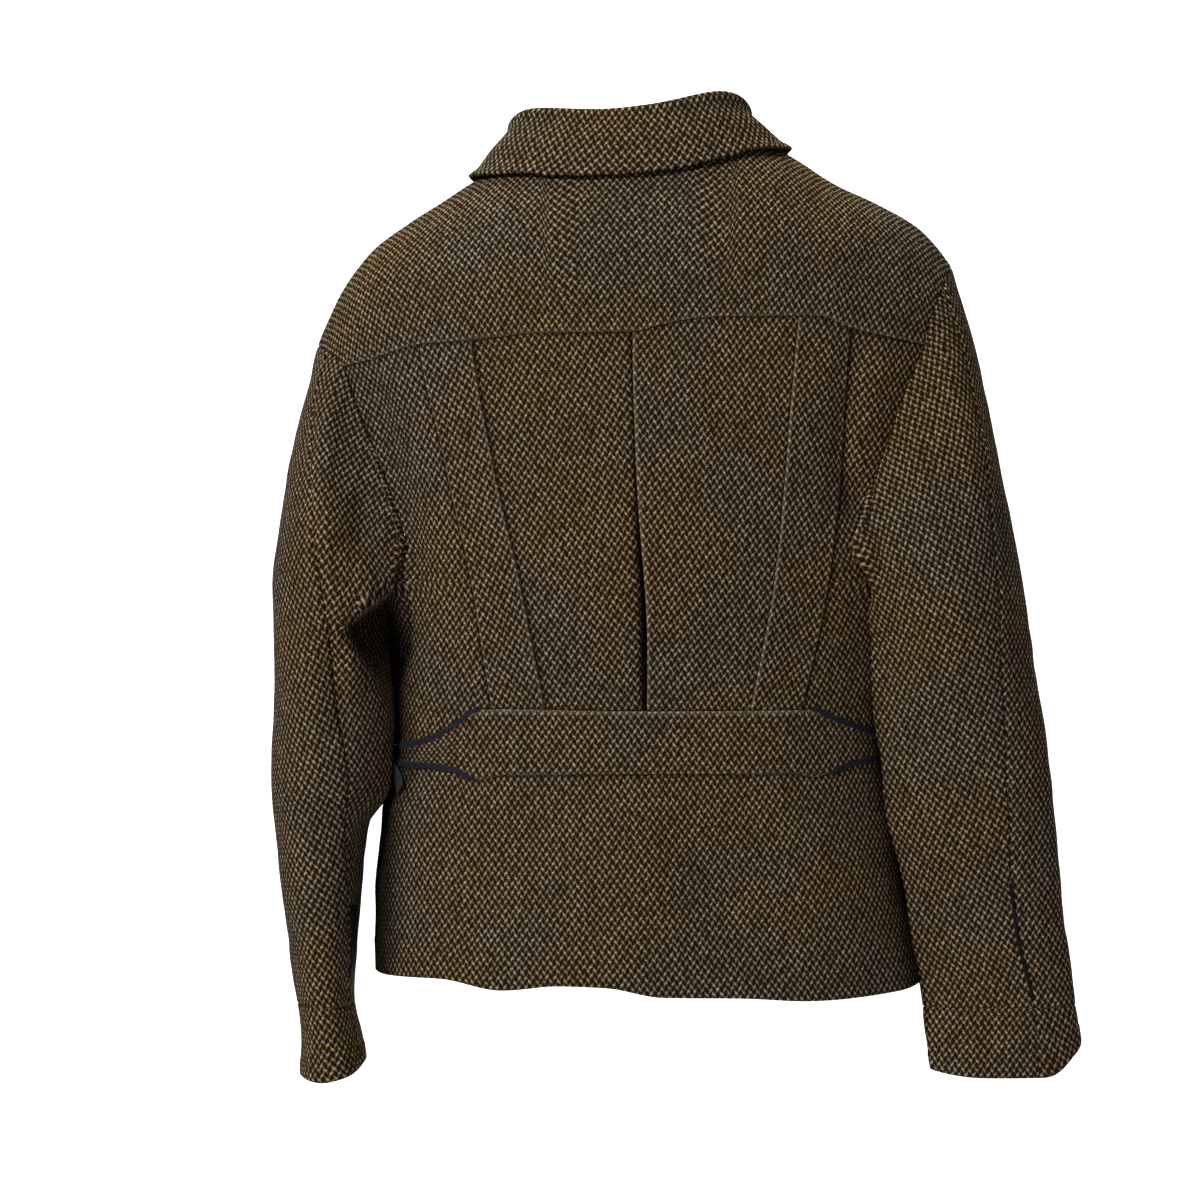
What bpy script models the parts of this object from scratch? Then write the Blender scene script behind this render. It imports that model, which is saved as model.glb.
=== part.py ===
"""Short tweed jacket, seen from behind in the photograph, filled out with no wearer.

Sizes are in millimetres and are turned to metres when a mesh is made. The front faces -Y, +X is the wearer's left and
Z = 0 is the middle of the shoulder line. Cloth is a wall: each panel is a grid of points on a shared surface, its edges
are drawn in by half a seam gap, and it is given its thickness along normals that it shares with the panels beside it."""

import math

import bpy
import numpy as np
from mathutils import Vector
from mathutils.bvhtree import BVHTree

MM = 0.001
CLOTH = 2.2  # wall thickness of the tweed with its lining
SEAM_GAP = 0.5  # between two panels at a seam
BOXINESS = 2.35  # power of the torso's rings
HALF_PI = math.pi / 2


def rows(names, *lines):
    return [dict(zip(names.split(), line)) for line in lines]


def curve(table, across, value):
    """A monotone cubic through one column of a table, held straight past its ends."""
    points = sorted((line[across], line[value]) for line in table)
    x = np.array([p[0] for p in points], float)
    y = np.array([p[1] for p in points], float)
    step = np.diff(x)
    rise = np.diff(y) / step
    slope = np.empty(len(x))
    slope[0], slope[-1] = rise[0], rise[-1]
    for i in range(1, len(x) - 1):
        together = rise[i - 1] * rise[i] > 0
        slope[i] = 2 / (1 / rise[i - 1] + 1 / rise[i]) if together else 0.0

    def at(place):
        if place <= x[0]:
            return y[0] + slope[0] * (place - x[0])
        if place >= x[-1]:
            return y[-1] + slope[-1] * (place - x[-1])
        i = int(np.searchsorted(x, place, side="right")) - 1
        s = (place - x[i]) / step[i]
        return (
            (1 + 2 * s) * (1 - s) ** 2 * y[i]
            + s * (1 - s) ** 2 * step[i] * slope[i]
            + s * s * (3 - 2 * s) * y[i + 1]
            + s * s * (s - 1) * step[i] * slope[i + 1]
        )

    return at


def ease(low, high, value):
    s = min(1.0, max(0.0, (value - low) / (high - low)))
    return s * s * (3 - 2 * s)


def bump(value, middle, width):
    return math.exp(-(((value - middle) / width) ** 2))


# ---- sizes -------------------------------------------------------------------------------------------------------
TORSO = rows(
    "z left right back front",
    (-130, 246, -247, 112, 100),
    (-190, 227, -229, 121, 112),
    (-250, 212, -213, 124, 120),
    (-316, 200, -203, 122, 122),
    (-370, 190, -195, 117, 118),
    (-430, 187, -190, 114, 114),
    (-466, 187.7, -192.5, 116, 115),
    (-490, 195, -196.5, 118, 117),
    (-550, 198.5, -207, 124, 122),
    (-640, 199, -219, 131, 128),
)
RIDGE = rows(  # the top of the shoulders, under the collar in the middle
    "x z",
    (243, -139), (236, -122), (222, -93), (199, -64), (176, -48), (152, -33), (130, -18), (75, 14), (0, 34),
    (-75, 24), (-116, 3), (-149, -18), (-181, -33), (-208, -48), (-223, -62), (-236, -79),
)
YOKE_SEAM = rows(
    "x z",
    (223, -155), (202, -150), (180, -143), (164, -139), (125, -136), (76, -131), (6, -130), (-15, -125),
    (-52, -119), (-133, -118), (-154, -126), (-204, -137),
)
WAIST_SEAM = rows(
    "x upper lower",
    (188, -441, -455), (171, -438, -454), (157, -434, -454), (139, -424, -456), (121, -411, -463), (100, -410, -459),
    (0, -411, -458), (-110, -411, -458), (-130, -411, -461), (-143, -417, -457), (-158, -423, -452),
    (-190, -437, -447),
)
HEM = rows(
    "x z",
    (196, -613), (150, -612), (105, -619), (60, -615), (26, -616), (-16, -623), (-75, -624), (-127, -627),
    (-195, -623), (-218, -617),
)
PANEL_SEAMS = rows(  # across the back, at each height
    "z outer_left inner_left pleat inner_right outer_right",
    (-120, 166, 127, 6, -117, -156),
    (-142, 164, 124.5, 6, -115, -154),
    (-223, 146, 110, 4, -108, -149),
    (-309, 127, 91, 1, -100, -141),
    (-409, 111, 71, -3, -82, -121),
)
ARMHOLE_BACK = rows(
    "z left right",
    (-118, 238, 222), (-139, 232, 213), (-159, 221, 204), (-180, 214, 195), (-212, 201, 184.5), (-250, 186, 169),
    (-288, 174, 156),
)
ARMHOLE_FRONT = rows("z left right", (-112, 222, 218), (-135, 212, 210), (-185, 190, 190), (-230, 178, 180), (-288, 181, 183))
ARMHOLE_FOOT = -316
FOOT_TURN = -288  # below this the armhole turns in to the side seam
NECK_LEFT, NECK_RIGHT, NECK_BACK = 75, -70, 64
NECK_FRONT = -58  # height of the neckline at the centre front
FRONT_SEAM_REACH = 45  # the yoke's front seam lies this far forward of the shoulder line
CHEST = -135  # where the front's shoulder part gives way to the torso's rings
PLEAT_UNDER, PLEAT_STEP, PLEAT_OPEN = 28, 4.6, 4.0
FRONT_LAP, LAP_STEP = 14, 4.8  # each front passes the middle by this much, left over right
FRONT_DROP = {1: 24, -1: 8}  # how much lower each front's hem is at the centre


torso_at = {name: curve(TORSO, "z", name) for name in ("left", "right", "back", "front")}
ridge = curve(RIDGE, "x", "z")
yoke_seam = curve(YOKE_SEAM, "x", "z")
waist_upper = curve(WAIST_SEAM, "x", "upper")
waist_lower = curve(WAIST_SEAM, "x", "lower")
hem = curve(HEM, "x", "z")
seam_at = {n: curve(PANEL_SEAMS, "z", n) for n in ("outer_left", "inner_left", "pleat", "inner_right", "outer_right")}
armhole_back = {1: curve(ARMHOLE_BACK, "z", "left"), -1: curve(ARMHOLE_BACK, "z", "right")}
armhole_front = {1: curve(ARMHOLE_FRONT, "z", "left"), -1: curve(ARMHOLE_FRONT, "z", "right")}

# Troughs on the body's back: middle line from (x0, z0) to (x1, z1), how wide and how deep.
BACK_TROUGHS = rows(
    "x0 z0 x1 z1 width depth",
    (187, -180, 176, -300, 20, 9),
    (-176, -170, -140, -290, 24, 10),
    (-45, -485, -85, -600, 30, 6),
    (-168, -70, -190, -110, 26, 5),
    (95, -490, 120, -600, 34, 4),
)
BACK_RIDGES = rows("x0 z0 x1 z1 width depth", (20, -500, -10, -610, 30, -4), (-140, -490, -150, -600, 28, -3))


def line_distance(line, x, z):
    """Distance of (x, z) from a fold's middle line, and a fade that dies away past its ends."""
    dx, dz = line["x1"] - line["x0"], line["z1"] - line["z0"]
    length = math.hypot(dx, dz)
    along = ((x - line["x0"]) * dx + (z - line["z0"]) * dz) / length**2
    near = min(1.0, max(0.0, along))
    gap = math.hypot(x - line["x0"] - near * dx, z - line["z0"] - near * dz)
    return gap, ease(-0.25, 0.25, along) * ease(1.25, 0.75, along)


def back_relief(x, z):
    total = 0.0
    for line in BACK_TROUGHS + BACK_RIDGES:
        gap, fade = line_distance(line, x, z)
        total -= line["depth"] * fade * math.exp(-((gap / line["width"]) ** 2))
    return total


def ring(z):
    left, right = torso_at["left"](z), torso_at["right"](z)
    middle = (left + right) / 2
    return middle, (left - right) / 2, torso_at["back"](z), torso_at["front"](z)


def signed_power(value, power):
    return math.copysign(abs(value) ** power, value)


def torso(angle, z, relief=True):
    """A point of the torso: angle 0 is the centre back, +90 degrees the wearer's left side."""
    middle, half, back, front = ring(z)
    x = middle + half * signed_power(math.sin(angle), 2 / BOXINESS)
    y = (back if math.cos(angle) > 0 else front) * signed_power(math.cos(angle), 2 / BOXINESS)
    if relief and y > 0:
        y += back_relief(x, z) * ease(0, 40, y)
    return np.array([x, y, z])


def angle_of(x, z, front=False):
    middle, half, _, _ = ring(z)
    share = min(1.0, max(-1.0, (x - middle) / half))
    angle = math.asin(signed_power(share, BOXINESS / 2))
    return math.copysign(math.pi, angle) - angle if front else angle


def foot_turn(z):
    """0 above the armhole's foot, 1 where it reaches the side seam."""
    s = min(1.0, max(0.0, (FOOT_TURN - z) / (FOOT_TURN - ARMHOLE_FOOT)))
    return 1 - math.sqrt(max(0.0, 1 - s * s))


def edge_angle(side, z, front=False):
    """Where the body ends at the armhole, or at the side seam below it."""
    if z <= ARMHOLE_FOOT:
        return side * HALF_PI
    x = side * (armhole_front if front else armhole_back)[side](max(z, FOOT_TURN))
    start = angle_of(x, max(z, FOOT_TURN), front)
    if z >= FOOT_TURN:
        return angle_of(x, z, front)
    return start + (side * HALF_PI - start) * foot_turn(z)


# ---- panels ------------------------------------------------------------------------------------------------------
PATCHES = []


def patch(name, grid, keep=None, thick=CLOTH, lift=0.0, shared=True, draw=None):
    grid = np.array(grid, float)
    if keep is None:
        keep = np.ones((grid.shape[0] - 1, grid.shape[1] - 1), bool)
    draw = np.zeros(grid.shape[:2]) if draw is None else draw  # how much more than half a gap each point is drawn in
    PATCHES.append({"name": name, "grid": grid, "keep": keep, "thick": thick, "lift": lift, "shared": shared, "draw": draw})
    return grid


def key_of(point):
    return tuple(int(round(v * 500)) for v in point)


def face_lists(entry):
    grid, keep = entry["grid"], entry["keep"]
    across = grid.shape[1]
    faces = [
        (i * across + j, i * across + j + 1, (i + 1) * across + j + 1, (i + 1) * across + j)
        for i in range(keep.shape[0])
        for j in range(keep.shape[1])
        if keep[i, j]
    ]
    return grid.reshape(-1, 3), faces


def unit(vector):
    size = np.linalg.norm(vector)
    return vector / size if size > 1e-12 else vector


def face_normal(points, face):
    a, b, c, d = (points[k] for k in face)
    return np.cross(c - a, d - b)


def build_walls(material_of):
    """Gives every patch its thickness and makes its object."""
    shared = {}
    for entry in PATCHES:
        points, faces = face_lists(entry)
        own = {}
        for face in faces:
            normal = face_normal(points, face)
            for k in face:
                own[k] = own.get(k, 0) + normal
        entry["own"] = {k: unit(v) for k, v in own.items()}
        if entry["shared"]:
            for k, normal in entry["own"].items():
                shared.setdefault(key_of(points[k]), []).append(normal)
    for entry in PATCHES:
        points, faces = face_lists(entry)
        edges = {}
        for face in faces:
            for a, b in zip(face, face[1:] + face[:1]):
                edges[(a, b)] = face
        rim = [(a, b) for a, b in edges if (b, a) not in edges]
        inward = {}
        for a, b in rim:
            normal = unit(face_normal(points, edges[(a, b)]))
            along = unit(points[b] - points[a])
            for k in (a, b):
                inward.setdefault(k, []).append(unit(np.cross(normal, along)))
        outer, inner, index = [], [], {}
        for k, own in entry["own"].items():
            normals = shared.get(key_of(points[k]), [own]) if entry["shared"] else [own]
            normal = unit(sum(normals))
            stretch = 1 / max(0.62, float(np.dot(normal, own)))
            place = points[k] + own * entry["lift"]
            if k in inward:
                ways = inward[k]
                total = sum(ways)
                place = place + total * (SEAM_GAP / 2 + entry["draw"].reshape(-1)[k]) / max(0.35, float(np.dot(unit(total), ways[0])) * np.linalg.norm(total))
            index[k] = len(outer)
            outer.append(place + normal * entry["thick"] / 2 * stretch)
            inner.append(place - normal * entry["thick"] / 2 * stretch)
        count = len(outer)
        quads = [tuple(index[k] for k in face) for face in faces]
        quads += [tuple(index[k] + count for k in reversed(face)) for face in faces]
        quads += [(index[b], index[a], index[a] + count, index[b] + count) for a, b in rim]
        make_object(entry["name"], outer + inner, quads, material_of(entry["name"]))


def make_object(name, points, faces, material):
    mesh = bpy.data.meshes.new(name)
    mesh.from_pydata([tuple(float(v) * MM for v in p) for p in points], [], faces)
    mesh.update()
    volume = sum(
        float(np.dot(points[f[0]], np.cross(points[f[k]], points[f[k + 1]]))) for f in faces for k in range(1, len(f) - 1)
    )
    if volume < 0:
        mesh.flip_normals()
    mesh.materials.append(material)
    thing = bpy.data.objects.new(name, mesh)
    bpy.context.scene.collection.objects.link(thing)
    return thing


def split(values, parts):
    """Each span of a list cut into equal parts."""
    out = []
    for a, b in zip(values, values[1:]):
        out += [a + (b - a) * k / parts for k in range(parts)]
    return out + [values[-1]]


# ---- the back ----------------------------------------------------------------------------------------------------
SPANS = ("side_left", "strip_left", "centre_left", "centre_right", "strip_right", "side_right")
SPAN_COLUMNS = {"side_left": 4, "strip_left": 2, "centre_left": 5, "centre_right": 5, "strip_right": 2, "side_right": 4}
BACK_ROWS = [-137, -160, -185, -212, -240, -265, -288, -299, -307, -312, -315, ARMHOLE_FOOT, -345, -378, -411]
BAND_ROWS = [0, 0.5, 1]
SKIRT_ROWS = [0, 0.15, 0.35, 0.6, 0.82, 1]


def back_seam_angle(which, z):
    """Angle of the seam between two spans: 0 is the left edge and 6 the right edge."""
    if which == 0:
        return edge_angle(1, z)
    if which == 6:
        return edge_angle(-1, z)
    name = ("outer_left", "inner_left", "pleat", "inner_right", "outer_right")[which - 1]
    return angle_of(seam_at[name](max(z, -411)), max(z, -411))


COLUMNS = []  # (span, share of the way across it)
for number, span in enumerate(SPANS):
    COLUMNS += [(number, k / SPAN_COLUMNS[span]) for k in range(SPAN_COLUMNS[span])]
COLUMNS.append((5, 1.0))
SEAM_COLUMN = {}
for number, (span, share) in enumerate(COLUMNS):
    if share == 0:
        SEAM_COLUMN[span] = number
SEAM_COLUMN[6] = len(COLUMNS) - 1


def column_angle(column, z):
    span, share = column
    return back_seam_angle(span, z) * (1 - share) + back_seam_angle(span + 1, z) * share


def back_height(column, row):
    """Height of a row of the upper back at a column: the yoke seam above, the waist seam below, level between."""
    first, last = BACK_ROWS[0], BACK_ROWS[-1]
    z = row
    for _ in range(8):
        x = torso(column_angle(column, z), z, False)[0]
        top = yoke_seam(x) - first
        low = waist_upper(x) - last
        z = row + top * ease(-245, first, row) + low * ease(ARMHOLE_FOOT, last, row)
    return z


def back_point(column, row):
    z = back_height(column, row)
    return torso(column_angle(column, z), z)


def waist_place(column):
    """The angle that a column keeps below the waist, and its x there."""
    z = back_height(column, BACK_ROWS[-1])
    angle = column_angle(column, z)
    return angle, torso(angle, z, False)[0]


def band_point(column, share):
    angle, x = waist_place(column)
    z = waist_upper(x) * (1 - share) + waist_lower(x) * share
    return torso(angle, z)


def skirt_point(column, share):
    angle, x = waist_place(column)
    bottom = hem(torso(angle, -615, False)[0])
    z = waist_lower(x) * (1 - share) + bottom * share
    return torso(angle, z)


upper_back = np.array([[back_point(column, row) for column in COLUMNS] for row in BACK_ROWS])
band = np.array([[band_point(column, share) for column in COLUMNS] for share in BAND_ROWS])
skirt = np.array([[skirt_point(column, share) for column in COLUMNS] for share in SKIRT_ROWS])


def inward_of(grid):
    """Unit vectors into the body at each point of a back grid, level."""
    out = np.zeros_like(grid)
    out[..., 0] = -grid[..., 0] * 0.25
    out[..., 1] = -np.abs(grid[..., 1])
    return out / np.linalg.norm(out, axis=-1, keepdims=True)


def pleat_open(row):
    return PLEAT_OPEN * bump(row, -350, 62)


def make_back():
    for number, span in enumerate(SPANS):
        a, b = SEAM_COLUMN[number], SEAM_COLUMN[number + 1]
        grid = upper_back[:, a : b + 1].copy()
        if span == "centre_left":
            extra = []
            for i, row in enumerate(BACK_ROWS):
                z = back_height(COLUMNS[b], row)
                fold = torso(column_angle(COLUMNS[b], z), z, False)[0]
                line = []
                for reach, step in ((10, 0.0), (1, 0.7), (-6, 1.0), (-PLEAT_UNDER, 1.0)):
                    point = torso(angle_of(fold + reach, z), z)
                    line.append(point - np.array([0, PLEAT_STEP * step, 0]))
                extra.append(line)
            grid = np.concatenate([grid[:, :-1], np.array(extra)], axis=1)
        if span == "centre_right":
            for i, row in enumerate(BACK_ROWS):
                grid[i, 0, 0] -= pleat_open(row)
                grid[i, 0, 1] += 0.4 * pleat_open(row)
        place = {"side_left": "back_side_left", "strip_left": "back_strip_left", "centre_left": "back_centre_left",
                 "centre_right": "back_centre_right", "strip_right": "back_strip_right", "side_right": "back_side_right"}[span]
        patch(place, grid[::-1])
    patch("back_waistband", band[::-1])
    patch("back_skirt", skirt[::-1])


# ---- the yoke ----------------------------------------------------------------------------------------------------
YOKE_RISE = [0, 14, 30, 46, 62, 76, 90]  # degrees from the back seam up to the shoulder line
YOKE_FRONT = [76, 60]  # degrees down the front from the shoulder line to the front seam, at the neck
RIDGE_REACH = rows("seam ridge", (223, 243), (75, 75), (-70, -75), (-204, -236))
ridge_x = curve(RIDGE_REACH, "seam", "ridge")
yoke_top_x = [float(p[0]) for p in upper_back[0]]
neck_left = min(range(len(yoke_top_x)), key=lambda k: abs(yoke_top_x[k] - NECK_LEFT))
neck_right = min(range(len(yoke_top_x)), key=lambda k: abs(yoke_top_x[k] - NECK_RIGHT))


def shoulder_x(number):
    """x at the shoulder line of a yoke column, with the neck's corners on their columns."""
    x = yoke_top_x[number]
    if number <= neck_left:
        share = (x - yoke_top_x[neck_left]) / (yoke_top_x[0] - yoke_top_x[neck_left])
        return NECK_LEFT + share * (243 - NECK_LEFT)
    if number >= neck_right:
        share = (x - yoke_top_x[neck_right]) / (yoke_top_x[-1] - yoke_top_x[neck_right])
        return -75 + share * (-236 + 75)
    share = (x - yoke_top_x[neck_left]) / (yoke_top_x[neck_right] - yoke_top_x[neck_left])
    return NECK_LEFT + share * (-75 - NECK_LEFT)


def yoke_point(number, degrees):
    """Up the back: 0 at the seam, 90 on the shoulder line."""
    foot = upper_back[0][number]
    top = shoulder_x(number)
    rise = math.radians(degrees)
    return np.array([
        foot[0] + (top - foot[0]) * math.sin(rise) ** 1.5,
        foot[1] * math.cos(rise),
        foot[2] + (ridge(top) - foot[2]) * math.sin(rise),
    ])


def neck_degrees(number):
    """How far up its column the neckline lies."""
    x = shoulder_x(number)
    depth = NECK_BACK * math.sqrt(max(0.0, 1 - (x / 75) ** 2))
    return math.degrees(math.acos(min(1.0, depth / upper_back[0][number][1])))


def front_edge(side):
    """Columns of a front: angle shares from its centre edge to its side, with the neck's corner among them."""
    return FRONT_NECK + FRONT_SHOULDER


def front_x(side, number):
    """x of a front column at the chest line."""
    columns = neck_left if side > 0 else len(COLUMNS) - 1 - neck_right
    corner = side * 80
    if number >= NECK_COLUMNS:
        share = (number - NECK_COLUMNS) / columns
        outer = torso(edge_angle(side, CHEST, True), CHEST, False)[0]
        return corner + share * (outer - corner)
    inner = -side * FRONT_LAP
    return inner + (corner - inner) * number / NECK_COLUMNS


NECK_COLUMNS = 4
FRONT_RISE = [1, 0.75, 0.5, 0.25, 0]  # share of the way down from the top edge to the chest line
FRONT_ROWS = [-160, -185, -212, -240, -265, -288, -299, -307, -312, -315, ARMHOLE_FOOT]


def front_shoulder_point(side, number, degrees):
    """Down the front from the shoulder line (90) to the chest line (0)."""
    x_low = front_x(side, number)
    if number >= NECK_COLUMNS:
        step = number - NECK_COLUMNS
        top = shoulder_x(neck_left - step if side > 0 else neck_right + step)
    else:
        top = x_low * 75 / 80
    low = torso(angle_of(x_low, CHEST, True), CHEST, False)
    rise = math.radians(degrees)
    return np.array([
        low[0] + (top - low[0]) * math.sin(rise) ** 1.5,
        low[1] * math.cos(rise),
        low[2] + (ridge(top) - low[2]) * math.sin(rise),
    ])


def front_top_degrees(side, number):
    """The top edge of a front: the yoke seam outside the neck, the neckline inside it."""
    low = front_shoulder_point(side, number, 0)
    if number >= NECK_COLUMNS:
        columns = neck_left if side > 0 else len(COLUMNS) - 1 - neck_right
        reach = FRONT_SEAM_REACH * (1 - 0.35 * (number - NECK_COLUMNS) / columns)
        return math.degrees(math.acos(min(1.0, reach / abs(low[1]))))
    x = abs(low[0])
    corner = front_shoulder_point(side, NECK_COLUMNS, front_top_degrees(side, NECK_COLUMNS))[2]
    height = NECK_FRONT + (corner - NECK_FRONT) * (x / 80) ** 2.2
    crown = ridge(low[0] * 75 / 80)
    return math.degrees(math.asin(min(1.0, (height - low[2]) / (crown - low[2]))))


def side_rows(side):
    """Heights on the side seam, from the armhole's foot to the hem, as the back has them."""
    column = 0 if side > 0 else -1
    foot = BACK_ROWS.index(ARMHOLE_FOOT)
    heights = [p[2] for p in upper_back[foot:, column]]
    heights += [p[2] for p in band[1:, column]]
    heights += [p[2] for p in skirt[1:, column]]
    return [float(z) for z in heights]


def front_grid(side):
    columns = NECK_COLUMNS + (neck_left if side > 0 else len(COLUMNS) - 1 - neck_right)
    grid = []
    for share in FRONT_RISE:
        grid.append([
            front_shoulder_point(side, k, front_top_degrees(side, k) * share) for k in range(columns + 1)
        ])
    chest = [angle_of(front_x(side, k), CHEST, True) for k in range(columns + 1)]
    edge = edge_angle(side, CHEST, True)
    shares = [(a - chest[0]) / (edge - chest[0]) if abs(a) < math.pi else 0 for a in chest]
    # Angles run past the centre front, so they are measured from it.
    from_front = [math.pi - abs(a) if a * side > 0 else abs(a) - math.pi for a in chest]
    edge_front = math.pi - abs(edge)
    shares = [(a - from_front[0]) / (edge_front - from_front[0]) for a in from_front]
    heights = FRONT_ROWS + side_rows(side)[1:]
    bottom, foot = heights[-1], ARMHOLE_FOOT
    for z0 in heights:
        line = []
        for share in shares:
            z = z0
            outer = math.pi - abs(edge_angle(side, z0, True))
            inner = angle_of(-side * FRONT_LAP + ring(z0)[0], z0, True)
            inner = math.pi - abs(inner) if inner * side > 0 else abs(inner) - math.pi
            turn = inner + share * (outer - inner)
            drop = FRONT_DROP[side] * (1 - share) ** 1.3 * ease(foot, bottom, z0)
            point = torso(side * (math.pi - turn), z - drop)
            line.append(point)
        grid.append(line)
    grid = np.array(grid)
    if side < 0:
        step = np.array([[ease(-42, -16, p[0]) for p in line] for line in grid])
        grid[..., 1] += LAP_STEP * step
    return grid


def make_yoke():
    total = len(YOKE_RISE) + len(YOKE_FRONT)
    front_left, front_right = FRONTS[1], FRONTS[-1]
    grid = np.zeros((total, len(COLUMNS), 3))
    keep = np.zeros((total - 1, len(COLUMNS) - 1), bool)
    for k in range(len(COLUMNS)):
        inside = neck_left < k < neck_right
        crown = neck_degrees(k) if inside else 90
        for i, degrees in enumerate(YOKE_RISE):
            grid[i, k] = yoke_point(k, degrees * crown / 90)
        if inside:
            continue
        side = 1 if k <= neck_left else -1
        number = NECK_COLUMNS + (neck_left - k if side > 0 else k - neck_right)
        last = front_top_degrees(side, number)
        for i in range(len(YOKE_FRONT)):
            degrees = 90 + (last - 90) * (i + 1) / len(YOKE_FRONT)
            grid[len(YOKE_RISE) + i, k] = front_shoulder_point(side, number, degrees)
    keep[: len(YOKE_RISE) - 1] = True
    keep[len(YOKE_RISE) - 1 :, :neck_left] = True
    keep[len(YOKE_RISE) - 1 :, neck_right:] = True
    for i in range(len(YOKE_RISE)):
        for k in range(len(COLUMNS)):
            p = grid[i, k]
            p[1] += back_relief(p[0], p[2]) * ease(20, 60, p[1]) * ease(0, 30, YOKE_RISE[i])
    return patch("back_yoke", grid, keep)


# ---- the sleeves -------------------------------------------------------------------------------------------------
SLEEVE = {
    -1: rows(
        "z x y half depth power seam turn",
        (-345, -227, 42, 64, 62, 2.1, 52, 0),
        (-409, -239.5, 44, 61.5, 47, 2.1, 60, 0),
        (-454, -246, 44, 61, 40, 2.1, 65, 0),
        (-499, -253, 44, 60, 34, 2.1, 68, 0),
        (-544, -259, 41, 58, 31, 2.1, 71, 0),
        (-589, -265, 38, 57, 28, 2.1, 70, 0),
        (-619, -270, 36, 56, 26, 2.1, 66, 0),
        (-637, -271, 35, 57, 26, 2.1, 64, 0),
        (-664, -272, 34, 60.5, 27, 2.1, 62, 0),
        (-700, -273, 33, 62, 28, 2.1, 60, 0),
    ),
    1: rows(
        "z x y half depth power seam turn",
        (-345, 231, 34, 45, 67, 2.1, 88, 10),
        (-409, 236.5, 30, 40.5, 60, 2.1, 104, 25),
        (-454, 236, 26, 41, 58, 2.1, 114, 30),
        (-499, 238.5, 18, 35.5, 58, 2.1, 124, 35),
        (-544, 239.5, 12, 29, 58, 2.1, 134, 40),
        (-589, 238, 8, 25, 58, 2.1, 146, 45),
        (-619, 237, 5, 22.5, 57, 2.1, 150, 48),
        (-637, 236, 4, 22, 57, 2.1, 150, 48),
        (-664, 232.5, 2, 24, 59, 2.1, 150, 48),
        (-700, 230, 0, 27, 60, 2.1, 150, 48),
    ),
}
SLEEVE_TOP = -345
SLEEVE_ROWS = [-345, -362, -385, -412, -440, -470, -500, -530, -560, -590, -615, -637]
CUFF_ROWS = [0, 0.3, 0.65, 1]
LOFT = [0, 0.1, 0.22, 0.38, 0.55, 0.72, 0.87, 1]
CUFF_FOOT = {  # height of the cuff's lower edge round the wrist, in degrees from its outer side
    -1: rows("turn z", (0, -664), (25, -674), (60, -690), (100, -690), (180, -682), (250, -684), (320, -672), (360, -664)),
    1: rows("turn z", (0, -690), (70, -694), (110, -690), (180, -680), (260, -686), (360, -690)),
}
STRAP_ROOM = 4.0  # more room for a sleeve to pass the strap
SLEEVE_CLEAR = 6.0  # kept between a sleeve's middle surface and the torso's
SETTING_OUT = rows(  # which way the sleeve leaves the armhole: sideways, backwards, upwards, and how hard it pulls
    "turn side back up pull",
    (0, 0.27, 0.0, -0.96, 0.9), (45, 0.42, 0.25, -0.87, 0.95), (90, 0.6, 0.34, -0.72, 0.9), (140, 0.8, 0.4, -0.45, 0.8),
    (180, 0.95, 0.0, -0.3, 0.7), (220, 0.85, -0.35, -0.4, 0.8), (270, 0.7, -0.32, -0.63, 0.9), (315, 0.48, -0.2, -0.85, 0.95),
    (360, 0.27, 0.0, -0.96, 0.9),
)
setting = {name: curve(SETTING_OUT, "turn", name) for name in ("side", "back", "up", "pull")}
sleeve_at = {
    side: {name: curve(SLEEVE[side], "z", name) for name in ("x", "y", "half", "depth", "power", "seam", "turn")}
    for side in (1, -1)
}
cuff_foot = {side: curve(CUFF_FOOT[side], "turn", "z") for side in (1, -1)}
# Folds of the sleeves: troughs on the side that faces back, as for the body.
SLEEVE_FOLDS = {
    1: rows("x0 z0 x1 z1 width depth", (222, -366, 190, -345, 13, 17), (225, -330, 190, -312, 16, -6), (232, -410, 205, -440, 22, 5)),
    -1: rows("x0 z0 x1 z1 width depth", (-200, -420, -262, -470, 18, 4), (-210, -300, -190, -380, 20, 4)),
}


def clear_of_torso(point, margin):
    """The point moved out, if need be, until it is this far outside the torso."""
    middle, half, back, front = ring(point[2])
    x = point[0] - middle
    depth = back if point[1] > 0 else front
    size = (abs(x / (half + margin)) ** BOXINESS + abs(point[1] / (depth + margin)) ** BOXINESS) ** (1 / BOXINESS)
    if size >= 1 or size < 1e-6:
        return point
    return np.array([middle + x / size, point[1] / size, point[2]])


def sleeve_relief(side, point):
    total = 0.0
    for line in SLEEVE_FOLDS[side]:
        gap, fade = line_distance(line, point[0], point[2])
        total -= line["depth"] * fade * math.exp(-((gap / line["width"]) ** 2))
    return total


def sleeve_ring(side, turn, z, centre=None):
    """A point of the sleeve's ring: 0 degrees faces away from the body, 90 faces back."""
    size = {name: at(z) for name, at in sleeve_at[side].items()}
    a = math.radians(turn)
    x = size["x"] + side * size["half"] * signed_power(math.cos(a), 2 / size["power"])
    y = size["y"] + size["depth"] * signed_power(math.sin(a), 2 / size["power"])
    return np.array([x, y, z])


def turned(side, turn, seam_turn, z):
    """The ring angle of a column, with the back seam's column carried to where the photograph has it."""
    to, shift = sleeve_at[side]["seam"](z), sleeve_at[side]["turn"](z)
    knots = ((0, shift), (seam_turn, to), (180, 180 + 0.6 * shift), (360, 360 + shift))
    for (a, at_a), (b, at_b) in zip(knots, knots[1:]):
        if turn <= b + 1e-9:
            return at_a + (at_b - at_a) * (turn - a) / (b - a)
    return turn


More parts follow.
